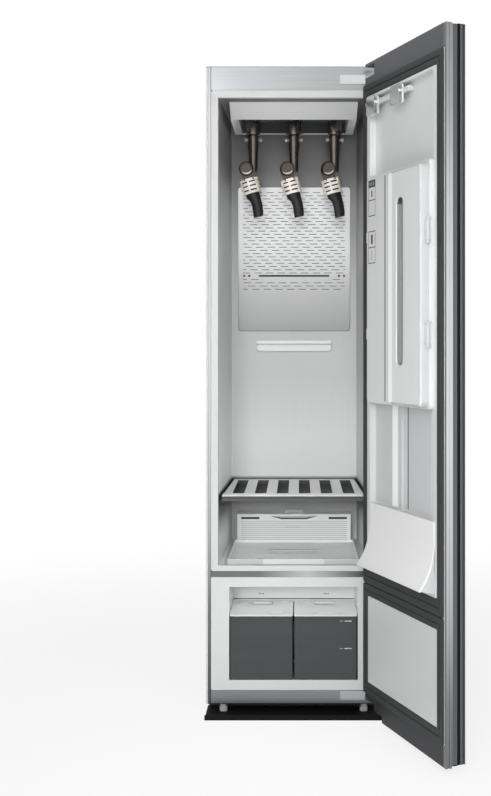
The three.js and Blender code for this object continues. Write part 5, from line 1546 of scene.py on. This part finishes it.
@dataclass
class Door(DoorPart):
    """The door shell: dark pan, silver edge, core, mirror glass, white liner and the two gaskets."""

    # The door core is black plastic; its black also paints the shadow in the gap between the free edge's bands.
    dressing: ClassVar[dict[str, tuple[Finish, float]]] = {
        "door_pan": (DOOR_PAN_ABS_SHADED, 1.0), "door_edge_profile": (EDGE_ALUMINIUM_PAINTED_REFLECTION, 1.0), "door_core": (PLINTH_ABS, 1.0),
        "door_glass": (FRONT_GLASS, 0.8), "display_board": (BOARD, 0.4), "door_liner": (DOOR_LINER_ABS_SHADED, 2.0),
    }
    seal_seat: float = 2.1
    seal_face: float = 7.6
    seal_spans: tuple[Span, Span] = ((1.0, 491.0), (31.0, 459.0))
    seals: tuple[tuple[str, Span, Span], ...] = (
        ("gasket_upper", (386.0, 1783.9), (429.0, 1747.9)), ("gasket_lower", (74.8, 384.5), (109.8, 351.8)))
    seal_section: tuple[Point, ...] = (
        (0.0, 2.2), (0.03, 0.8), (0.08, 0.0), (0.4, 0.0), (0.45, 0.8), (0.48, 3.0), (0.53, 3.0), (0.56, 0.8),
        (0.61, 0.0), (0.9, 0.3), (0.97, 1.4), (1.0, 2.6))
    band_height: Span = (25.0, 1843.0)
    edge_bands: tuple[tuple[Span, Span, int], ...] = (
        ((491.5, 493.6), (-32.5, -21.0), 0), ((491.5, 496.0), (-46.2, -40.0), 0),
        ((491.5, 496.0), (-19.6, -17.05), 2), ((484.0, 496.12), (-1.6, 0.12), 1),
        ((495.6, 496.12), (-53.2, -48.4), 3))
    tub_round: float = 3.0
    tub_profile: tuple[Point, ...] = ((0, -11.3), (0, -10.7), (0.5, -10.3))
    tub_height: Span = (622.0, 893.0)
    tub_bands: tuple[Span, Span, Span] = ((52.0, 176.0), (237.0, 257.0), (266.0, 396.0))
    tub_tiles: tuple[tuple[Span, Span, Span, int], ...] = (
        ((176.0, 213.0), (622.0, 892.0), (-11.0, -3.7), 1), ((213.0, 233.2), (622.0, 892.0), (-4.1, -3.7), 0),
        ((47.2, 48.0), (1524.0, 1738.0), (-11.0, 0.5), 0), ((233.3, 233.9), (622.0, 893.0), (-11.0, -3.7), 0),
        ((258.5, 262.0), (622.0, 893.0), (-11.0, -10.1), 2))

    def build(self) -> None:
        """Dresses the shell and makes the gaskets, the bands of the free edge and the pocket floors, most of which
        paint shade.
        """
        super().build()
        for node, outer, inner in self.seals:
            self.gasket(node, outer, inner)
        edge = Skin(self.plane())
        for span, depths, coat in self.edge_bands:
            edge.tile(span, self.band_height, depths, coat)
        self.hand_over(edge, "door_edge_bands", "door", EDGE_ABS, TRIM_ABS, EDGE_ALUMINIUM_PAINTED_REFLECTION, DARK_ABS)
        # Painted shade: grey floors in the lower pocket, a grey tile over the upper pocket's hinge-side wall and a
        # dark strip in the lower pocket.
        floor = Skin(self.plane())
        for span in self.tub_bands:
            floor.cushion(span, self.tub_height, self.tub_round, self.tub_profile)
        for span, height, depths, coat in self.tub_tiles:
            floor.tile(span, height, depths, coat)
        self.hand_over(floor, "door_pocket_floor", "door", GREY_ABS, BRIGHT_ABS, DARK_AND_SHADE_ABS)

    def gasket(self, node: str, outer: Span, inner: Span) -> None:
        """A seal with a soft outer bulb, a groove in its middle and a foot lip inside.

        Args:
            node: The solid that it stands for.
            outer: Its outer height.
            inner: The height of its window.
        """
        skin = Skin(self.plane())
        section = [(share, self.seal_face - below) for share, below in self.seal_section]
        rings = []
        for share, depth in [(0.0, self.seal_seat), *section, (1.0, self.seal_seat)]:
            spans = [tuple(o + share * (i - o) for o, i in zip(*pair)) for pair in (self.seal_spans, (outer, inner))]
            rings.append(skin.ring(round_rect(*spans, 6 - 5 * share), depth))
        skin.stack([*rings, rings[0]])
        self.hand_over(skin, f"{node}_seal", "door", SEAL_RUBBER, node=node)


@dataclass
class DripRamp(DoorPart):
    """The white apron that leads drips from the door back onto the floor tray."""

    width: Span = (60.0, 452.0)
    cheeks: tuple[Span, Span] = ((60.5, 64.0), (448.0, 451.5))
    top: float = 617.0
    straight: float = 561.0
    lip: float = 448.0
    foot: float = 438.0
    seat: float = 7.7
    near: float = 11.7
    reach: float = 53.0
    pull: Point = (15.7, 490.0)
    wall: float = 4.0
    wall_drop: float = 3.2
    cheek_step: float = 0.4
    steps: int = 22

    def curve(self) -> list[Point]:
        """The front of the apron, from its top down to its lip, as distance inward and height.

        Returns:
            Its points.
        """
        points = [(self.near, self.top), (self.near, (self.top + self.straight) / 2)]
        for at in range(self.steps + 1):
            share = at / self.steps
            points.append(tuple((1 - share) ** 2 * a + 2 * share * (1 - share) * b + share ** 2 * c for a, b, c in
                                zip((self.near, self.straight), self.pull, (self.reach, self.lip))))
        return points

    def build(self) -> None:
        """Makes the apron with its rolled lip, closed cheeks and a thin wall."""
        skin, front = Skin(self.plane()), self.curve()
        back = [(max(w - self.wall, self.seat), z - (0.0 if at < 2 else self.wall_drop))
                for at, (w, z) in enumerate(front)]
        section = [*front, *reversed(back)]
        skin.solid([skin.place((u, z, w) for w, z in section) for u in self.width])
        edge = [*[(w - self.cheek_step, z - self.cheek_step) for w, z in front[1:]], (self.seat, self.foot)]
        for ends in self.cheeks:
            skin.solid([skin.place((u, z, max(w, self.seat)) for w, z in edge) for u in ends], 1)
        self.hand_over(skin, "drip_apron", "door", WHITE_ABS, GREY_ABS, node="door_ramp")


@dataclass
class TrouserPress(DoorPart):
    """The trouser press: a shell-shaped base on the door and a long cover hinged at its free side."""

    base_span: Span = (56.0, 450.0)
    base_height: Span = (894.0, 1518.0)
    base_round: float = 14.0
    base_edge: float = 4.0
    wing_back: float = 7.7
    base_front: float = 20.0
    foot_span: Span = (57.0, 439.7)
    foot_height: Span = (895.0, 1517.0)
    foot_round: float = 12.0
    foot_depths: Span = (-10.7, 17.0)
    shadow_line: tuple[Span, Span, Span] = ((176.0, 184.5), (903.0, 1509.0), (19.5, 20.15))
    cover_span: Span = (254.0, 445.0)
    cover_height: Span = (900.0, 1507.0)
    cover_back: float = 20.3
    cover_front: float = 45.0
    cover_round: float = 18.0
    highlight_span: Span = (256.0, 280.0)
    highlight_height: Span = (905.0, 1502.0)
    strip_round: float = 8.0
    strip_profile: tuple[Point, ...] = ((0, 44.6), (0, 45.0), (0.3, 45.2))
    edge: float = 7.0
    wall: float = 3.0
    groove_span: Span = (307.0, 343.0)
    groove_height: Span = (1003.0, 1433.0)
    groove_mouth: tuple[Point, ...] = ((-4.0, 45.0), (-1.6, 44.3), (-0.3, 43.0), (0.0, 41.0), (1.0, 34.0),
                                       (2.2, 31.9), (4.5, 31.0))
    groove_under: tuple[Point, ...] = ((-4.0, 42.0), (-3.0, 40.0), (-3.0, 28.0))
    groove_round: float = 0.44
    shaded_head_z: float = 1415.0
    barrel_place: Point = (452.5, 27.0)
    barrel_radius: float = 5.5
    barrel_bore: float = 2.9
    barrels: tuple[Span, Span] = ((1057.2, 1105.2), (1316.2, 1364.2))
    chamfer: float = 0.8
    gap: float = 0.3
    lug: float = 9.0
    lug_radius: float = 5.0
    web: tuple[Span, Span] = ((446.5, 452.5), (17.0, 27.0))
    web_inset: float = 0.5
    leaf: tuple[Point, ...] = ((443.0, 24.0), (449.3, 24.0), (449.3, 32.1), (443.0, 35.5))
    pin_radius: float = 2.4
    pin_reach: float = 4.0
    bump_span: Span = (50.0, 61.0)
    bump_depths: tuple[float, float, float] = (8.7, 15.0, 19.0)
    bump_round: float = 4.0
    bump_edge: float = 3.5
    bumps: tuple[Span, Span] = ((1067.6, 1101.0), (1335.5, 1366.2))
    column: Span = (70.0, 116.0)
    rule: float = 1.4
    rule_half: float = 1.2
    cell_margin: float = 9.0
    print_depths: Span = (19.9, 20.2)
    top_bars: tuple[Span, ...] = ((76.0, 84.0), (88.0, 96.0), (100.0, 108.0))
    top_bar_height: Span = (1492.0, 1502.0)
    top_bar_depths: Span = (20.1, 20.35)
    cells: tuple[float, ...] = (1507.0, 1487.0, 1452.0, 1409.0, 1366.0, 1322.0, 1279.0)
    bar_halves: tuple[float, ...] = (3.5, 0.0, 0.0, 5.5, 1.5)
    open_cell: int = 2
    grey_bar: int = 4

    def build(self) -> None:
        """Makes the base, the cover with its finger groove, the hinge barrels and the marks."""
        self.base()
        self.lugs()
        self.cover()
        self.cover_barrels()
        self.marks()

    def hinge_skin(self) -> Skin:
        """An empty mesh whose depth runs up the door."""
        return Skin(self.plane() @ FACING)

    def base(self) -> None:
        """A wing with rolled edges on a narrower foot, with a painted shadow line beside the cover and two bumps."""
        skin, front, back = Skin(self.plane()), self.base_front, self.wing_back
        skin.cushion(self.base_span, self.base_height, self.base_round,
                     [(0, back), (0, front - self.base_edge), *roll(self.base_edge, front, back)], steps=7)
        skin.cushion(self.foot_span, self.foot_height, self.foot_round, [(0, depth) for depth in self.foot_depths],
                     steps=7)
        skin.tile(*self.shadow_line, 1)
        (low, high, face), edge = self.bump_depths, self.bump_edge
        for height in self.bumps:
            skin.cushion(self.bump_span, height, self.bump_round, [(0, low), (0, high), *roll(edge, face, low)])
        self.hand_over(skin, "press_base_shell", "door", PANEL_ABS, GROOVE_ABS_PAINTED_SHADE, node="press_base")

    def knuckle(self, hinge: Skin, bore: float, radius: float, ends: Span, sides: int) -> None:
        """A turned knuckle on the hinge's axis, with a bore or none and broken edges.

        Args:
            hinge: The mesh that takes it.
            bore: The bore's radius, or zero.
            radius: Its outer radius.
            ends: Where it ends.
            sides: How many sides it has.
        """
        (low, high), (foot, head) = ends, inset(ends, self.chamfer)
        hinge.turned(self.barrel_place, [(bore, low), (radius - self.chamfer, low), (radius, foot), (radius, head),
                                         (radius - self.chamfer, high), (bore, high)], sides)

    def lugs(self) -> None:
        """The lugs and pins of the hinge, on the base."""
        hinge, thin = self.hinge_skin(), self.pin_radius
        for barrel in self.barrels:
            low, high = inset(barrel, -self.gap)
            for ends in ((low - self.lug, low), (high, high + self.lug)):
                self.knuckle(hinge, 0, self.lug_radius, ends, 20)
                hinge.tile(*self.web, inset(ends, self.web_inset))
            foot, head = inset(barrel, -self.pin_reach)
            hinge.turned(self.barrel_place, [(0, foot), (thin, foot), (thin, head), (0, head)], 16)
        self.hand_over(hinge, "press_base_lugs", "door", GREY_ABS, node="press_base")

    def cover(self) -> None:
        """A hollow cover with soft front edges and a long finger groove, with painted shade on its sides and in its
        groove and a painted highlight strip.
        """
        skin, back, front, wall = Skin(self.plane()), self.cover_back, self.cover_front, self.wall
        outline = self.cover_span, self.cover_height, self.cover_round
        outer = skin.rims(*outline, [(0.0, back), (0.0, front - self.edge), *roll(self.edge, front, back, 6)], 8)
        inner = skin.rims(*outline, [(wall, back), (wall, front - self.edge),
                                     *[(step + wall, depth) for step, depth in
                                       roll(self.edge - wall, front - wall, back, 4)]], 8)
        # Painted shade: the cover's sides and rolled edge are a darker grey than its face.
        skin.stack(outer, 3)
        skin.stack(inner)
        skin.bridge(outer[0], inner[0])
        mouth, under = ([self.groove_ring(skin, step, depth) for step, depth in profile]
                        for profile in (self.groove_mouth, self.groove_under))
        skin.stack(mouth[:3])
        for first, second in zip(mouth[2:], mouth[3:]):
            for at, corner in enumerate(first):
                after = (at + 1) % len(first)
                # Painted shade: the groove's walls are grey, and dark grey above this height at its head.
                high = min(skin.flat[corner][1], skin.flat[first[after]][1]) > self.shaded_head_z
                skin.face((corner, first[after], second[after], second[at]), 2 if high else 1)
        skin.cap(mouth[-1], coat=1)
        skin.cap(outer[-1], [mouth[0]])
        skin.stack(under)
        skin.cap(under[-1])
        skin.cap(inner[-1], [under[0]])
        # Painted highlight: a bright strip on the face along the cover's rolled edge nearer the door's hinge.
        skin.cushion(self.highlight_span, self.highlight_height, self.strip_round, self.strip_profile, 4, 7)
        self.hand_over(skin, "press_cover_shell", "press_cover", PANEL_ABS, GROOVE_ABS_PAINTED_SHADE, DARK_ABS, GREY_ABS,
                       BRIGHT_ABS, node="press_cover")

    def cover_barrels(self) -> None:
        """The hinge barrels of the cover, each on a short leaf."""
        hinge = self.hinge_skin()
        for ends in self.barrels:
            self.knuckle(hinge, self.barrel_bore, self.barrel_radius, ends, 24)
            hinge.prism(self.leaf, ends)
        self.hand_over(hinge, "press_cover_barrels", "press_cover", GREY_ABS, node="press_cover")

    def groove_ring(self, skin: Skin, step: float, depth: float) -> list[int]:
        """A ring of the finger groove's outline moved in by a step."""
        span, height = inset(self.groove_span, step), inset(self.groove_height, step)
        return skin.ring(round_rect(span, height, self.groove_round * (span[1] - span[0]), 8), depth)

    def marks(self) -> None:
        """A printed column on the wing: a dark box on top, then cells with plain bars between lines."""
        skin, (low, high), depths = Skin(self.plane()), self.column, self.print_depths
        top, *cells = self.cells
        skin.tile((low, high), (cells[0], top), depths)
        for at, (z, below) in enumerate(zip(cells, cells[1:])):
            skin.tile((low, high), around(below, self.rule_half), depths)
            if self.bar_halves[at]:
                skin.tile(around((low + high) / 2, self.bar_halves[at]), inset((below, z), self.cell_margin), depths,
                          int(at == self.grey_bar))
            if at != self.open_cell:
                skin.tile((low, low + self.rule), (below, z), depths)
                skin.tile((high - self.rule, high), (below, z), depths)
        for span in self.top_bars:
            skin.tile(span, self.top_bar_height, self.top_bar_depths, 1)
        self.hand_over(skin, "press_marks", "door", DARK_INK, GREY_INK)


@dataclass
class TrouserClips(DoorPart):
    """The clip rail with its two plates, and the sprung chrome jaws."""

    dressing: ClassVar[dict[str, tuple[Finish, float]]] = {
        "clip_rail": (PANEL_ABS, 0.8), "clip_jaw_left": (BRIGHT_CHROME, 0.6), "clip_jaw_right": (BRIGHT_CHROME, 0.6),
    }


@dataclass
class DisplayFace(DoorPart):
    """What shows through the front glass: digits, four picture tiles, plain rows of bars, two touch marks."""

    print_depths: Span = (-53.2, -53.5)
    motif_depths: Span = (-53.4, -53.65)
    centre: float = 248.0
    digit_width: float = 11.0
    digit_heights: tuple[float, float, float] = (1526.5, 1536.5, 1546.5)
    digit_starts: tuple[float, ...] = (-26.0, -13.2, 2.0, 14.8)
    stroke: float = 2.2
    stroke_gap: float = 1.8
    icon_starts: Span = (-21.0, 17.0)
    icon_count: int = 6
    icon_width: float = 3.6
    icon_height: Span = (1555.5, 1559.5)
    tile_span: Span = (-5.6, 26.1)
    tile_heights: tuple[Span, ...] = ((1479.0, 1503.0), (1447.5, 1471.5), (1414.5, 1438.5), (1380.0, 1404.0))
    tile_finishes: tuple[Finish, ...] = (LIT_WHITE, LIT_PINK, LIT_ORANGE, LIT_BLUE)
    tile_round: float = 2.0
    motif_middle: float = 15.8
    hills: tuple[tuple[Point, Point], ...] = (((3.0, 17.0), (3.0, 15.0)), ((14.0, 28.0), (2.6, 19.0)))
    ring_radii: Span = (9.0, 5.0)
    ring_wall: float = 1.8
    steps: tuple[tuple[Span, float], ...] = (
        ((4.0, 7.4), 9.0), ((10.4, 13.8), 12.4), ((16.8, 20.2), 15.8), ((23.2, 26.6), 19.2))
    step_foot: float = 4.0
    drop_radius: float = 5.5
    drop_rise: float = 9.0
    drop_tip: float = 3.0
    row_bars: tuple[Span, Span] = ((-25.5, -20.0), (-18.0, -11.5))
    row_inset: float = 4.0
    row_half: float = 1.4
    touch_marks: Span = (-14.0, 14.0)
    touch_bars: tuple[tuple[float, float, float], ...] = ((5.0, 1312.0, 0.9), (2.5, 1315.5, 0.7))

    def build(self) -> None:
        """Makes the lit digits, the tiles with their motifs and the printed rows."""
        self.digits()
        self.tiles()
        self.rows()

    def bar(self, skin: Skin, low: float, high: float, height: Span) -> None:
        """A bar on the glass, by its ends as seen from outside, where the hinge is on the right."""
        skin.tile((self.centre - high, self.centre - low), height, self.print_depths)

    def digits(self) -> None:
        """Four seven-segment digits that show all their segments, with icons above as plain bars."""
        skin, half, gap = Skin(self.plane()), self.stroke / 2, self.stroke_gap
        low, middle, high = self.digit_heights
        for start in self.digit_starts:
            left, right = start, start + self.digit_width
            for z in (low + half, middle, high - half):
                self.bar(skin, left + gap, right - gap, around(z, half))
            for x in (left + half, right - half):
                for bottom, top in ((low, middle), (middle, high)):
                    self.bar(skin, x - half, x + half, (bottom + gap, top - gap))
        for left in evenly(self.icon_starts, self.icon_count):
            self.bar(skin, left, left + self.icon_width, self.icon_height)
        self.hand_over(skin, "display_digits", "door", LIT_GREY)

    def tiles(self) -> None:
        """Four small colour tiles, each with a plain motif: hills, rings, bars and a drop."""
        left, right = (self.centre - end for end in reversed(self.tile_span))
        for number, (height, finish) in enumerate(zip(self.tile_heights, self.tile_finishes)):
            skin = Skin(self.plane())
            skin.cushion((left, right), height, self.tile_round, [(0, depth) for depth in self.print_depths])
            self.motif(skin, number, left, height)
            self.hand_over(skin, f"display_tile_{number + 1}", "door", finish, DARK_INK, LIT_WHITE)

    def motif(self, skin: Skin, number: int, left: float, height: Span) -> None:
        """Draws one tile's motif.

        Args:
            skin: The mesh that takes it.
            number: The tile's number.
            left: The tile's left edge.
            height: The tile's foot and head.
        """
        (low, high), (near, far) = height, self.motif_depths
        middle = (left + self.motif_middle, (low + high) / 2)
        if number == 0:
            for (start, end), (foot, top) in self.hills:
                skin.prism([(left + start, low + foot), (left + end, low + foot),
                            (left + (start + end) / 2, low + top)], (near, far), 1)
        elif number == 1:
            for radius in self.ring_radii:
                inner = radius - self.ring_wall
                rings = [skin.ring(circle(middle, edge, 24), depth) for edge, depth in
                         ((radius, near), (radius, far), (inner, far), (inner, near))]
                skin.stack([*rings, rings[0]], 2)
        elif number == 2:
            for (start, end), top in self.steps:
                skin.tile((left + start, left + end), (low + self.step_foot, low + top), (near, far), 2)
        else:
            bowl = arc((middle[0], low + self.drop_rise), self.drop_radius, 150, 240, 16)
            skin.prism([*bowl, (middle[0], high - self.drop_tip)], (near, far), 2)

    def rows(self) -> None:
        """Short plain bars beside the tiles, and two touch marks below them."""
        skin = Skin(self.plane())
        for height in self.tile_heights:
            for z in inset(height, self.row_inset):
                for low, high in self.row_bars:
                    self.bar(skin, low, high, around(z, self.row_half))
        for middle in self.touch_marks:
            for reach, z, half in self.touch_bars:
                self.bar(skin, middle - reach, middle + reach, around(z, half))
        self.hand_over(skin, "display_rows", "door", GREY_INK)


@dataclass
class Studio:
    """The pale floor, the soft lamps, the white surround and the camera at the photograph's place."""

    eye: tuple[float, float, float] = (0.015, -3.396, 1.064)
    lens: float = 54.61
    sensor: float = 36.0
    shift: Point = (-0.0669, -0.0712)
    floor_half: float = 14.0
    floor_colour: str = "#F4F4F4"
    shadow_reach: Span = (0.8, 3.2)
    dome: float = 0.4
    floor_glow: float = 0.8
    lamps: tuple[tuple[Any, ...], ...] = (
        ("key", (-0.2, -3.1, 2.5), (0.0, 0.1, 1.2), 1.5, 30.0),
        ("low", (-0.4, -3.3, 1.3), (0.0, 0.1, 0.3), 0.8, 3.4, 40.0),
        ("right", (1.6, -2.6, 1.6), (0.0, 0.1, 1.0), 1.2, 21.0),
        ("left", (-2.0, -2.2, 1.5), (0.3, 0.0, 1.0), 1.2, 9.0),
        ("bounce", (0.0, -2.6, 0.2), (0.0, 0.2, 1.8), 0.6, 3.0, 60.0),
        ("panel", (0.0, -3.0, 1.7), (0.0, 0.5, 1.4), 0.5, 0.3, 16.0),
        ("gleam", (-0.75, -3.2, 2.45), (0.0, 0.0, 1.6), 0.8, 6.0, 180.0, True))

    def build(self) -> None:
        """Sets up floor, lamps, surround and camera."""
        self.floor()
        self.surround()
        for lamp in self.lamps:
            self.lamp(*lamp)
        self.camera()

    @staticmethod
    def lamp(name: str, place: Sequence[float], target: Sequence[float], size: float, power: float,
             spread: float = 180.0, glossy: bool = False) -> None:
        """Adds a soft square lamp.

        Args:
            name: The lamp's name.
            place: Where it hangs, in metres.
            target: What it points at, in metres.
            size: Its side in metres.
            power: Its power in watts.
            spread: How far its light fans out, in degrees.
            glossy: Whether metal mirrors it.
        """
        light = bpy.data.lights.new(name, "AREA")
        light.spread = math.radians(spread)
        light.size = size
        light.energy = power
        holder = add_object(name, light)
        holder.location = place
        holder.rotation_euler = (Vector(target) - Vector(place)).to_track_quat("-Z", "Y").to_euler()
        holder.visible_camera = False
        holder.visible_glossy = glossy

    def floor(self) -> None:
        """A plain pale floor. It glows a little, so that it meets the white surround and keeps its shadow."""
        half = self.floor_half
        mesh = bpy.data.meshes.new("floor")
        mesh.from_pydata([(-half, -half, 0), (half, -half, 0), (half, half, 0), (-half, half, 0)], [], [(0, 1, 2, 3)])
        material = bpy.data.materials.new("studio_floor")
        tree = empty_tree(material)
        paint = add_node(tree, "ShaderNodeBsdfDiffuse", {"Color": linear(self.floor_colour)})
        glow = add_node(tree, "ShaderNodeEmission", {"Color": WHITE_LIGHT, "Strength": 1.0})
        place = add_node(tree, "ShaderNodeTexCoord")
        away = add_node(tree, "ShaderNodeVectorMath", {"operation": "LENGTH"}, {0: (place, "Object")})
        share = add_node(tree, "ShaderNodeMapRange", {
            "interpolation_type": "SMOOTHSTEP", "From Min": self.shadow_reach[0], "From Max": self.shadow_reach[1],
            "To Min": self.floor_glow, "To Max": 1.0,
        }, {"Value": (away, "Value")})
        seen = add_node(tree, "ShaderNodeMath", {"operation": "MULTIPLY"}, {0: self.looks(tree), 1: (share, "Result")})
        mixed = add_node(tree, "ShaderNodeMixShader",
                         links={0: (seen, "Value"), 1: (paint, "BSDF"), 2: (glow, "Emission")})
        add_node(tree, "ShaderNodeOutputMaterial", links={"Surface": (mixed, "Shader")})
        mesh.materials.append(material)
        add_object("floor", mesh)

    @staticmethod
    def looks(tree: bpy.types.NodeTree) -> Source:
        """One where the camera, a mirror image or a look through glass meets the surface, and zero for light.

        Args:
            tree: The node tree of the floor or of the world.

        Returns:
            The socket that gives the value.
        """
        path = add_node(tree, "ShaderNodeLightPath")
        shown = add_node(tree, "ShaderNodeMath", {"operation": "MAXIMUM"},
                         {0: (path, "Is Camera Ray"), 1: (path, "Is Glossy Ray")})
        return (add_node(tree, "ShaderNodeMath", {"operation": "MAXIMUM"},
                         {0: (shown, "Value"), 1: (path, "Is Transmission Ray")}), "Value")

    def surround(self) -> None:
        """A white surround: soft as a lamp, and plain white where the camera, metal and glass look at it."""
        world = bpy.data.worlds.new("studio")
        tree = empty_tree(world)
        soft, white = (add_node(tree, "ShaderNodeBackground", {"Color": WHITE_LIGHT, "Strength": strength})
                       for strength in (self.dome, 1.0))
        mixed = add_node(tree, "ShaderNodeMixShader",
                         links={0: self.looks(tree), 1: (soft, "Background"), 2: (white, "Background")})
        add_node(tree, "ShaderNodeOutputWorld", links={"Surface": (mixed, "Shader")})
        bpy.context.scene.world = world

    def camera(self) -> None:
        """The camera stands level before the cabinet, at a little more than chest height."""
        data = bpy.data.cameras.new("camera")
        data.lens = self.lens
        data.sensor_width = self.sensor
        data.shift_x, data.shift_y = self.shift
        holder = add_object("camera", data)
        holder.location = self.eye
        holder.rotation_euler = (math.radians(90), 0, 0)
        bpy.context.scene.camera = holder


def main() -> None:
    """Builds the sub-assemblies in order."""
    logging.basicConfig(level=logging.INFO, format="%(name)s: %(message)s")
    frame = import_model()
    bpy.context.scene.view_settings.view_transform = "Standard"
    Studio().build()
    for kind in (Carcass, FrontFrame, CareCompartment, HangerUnit, TankBay, MachineRoom, Door, DripRamp,
                 TrouserPress, TrouserClips, DisplayFace):
        kind(frame).build()
    bpy.context.view_layer.update()


if __name__ == "__main__":
    main()
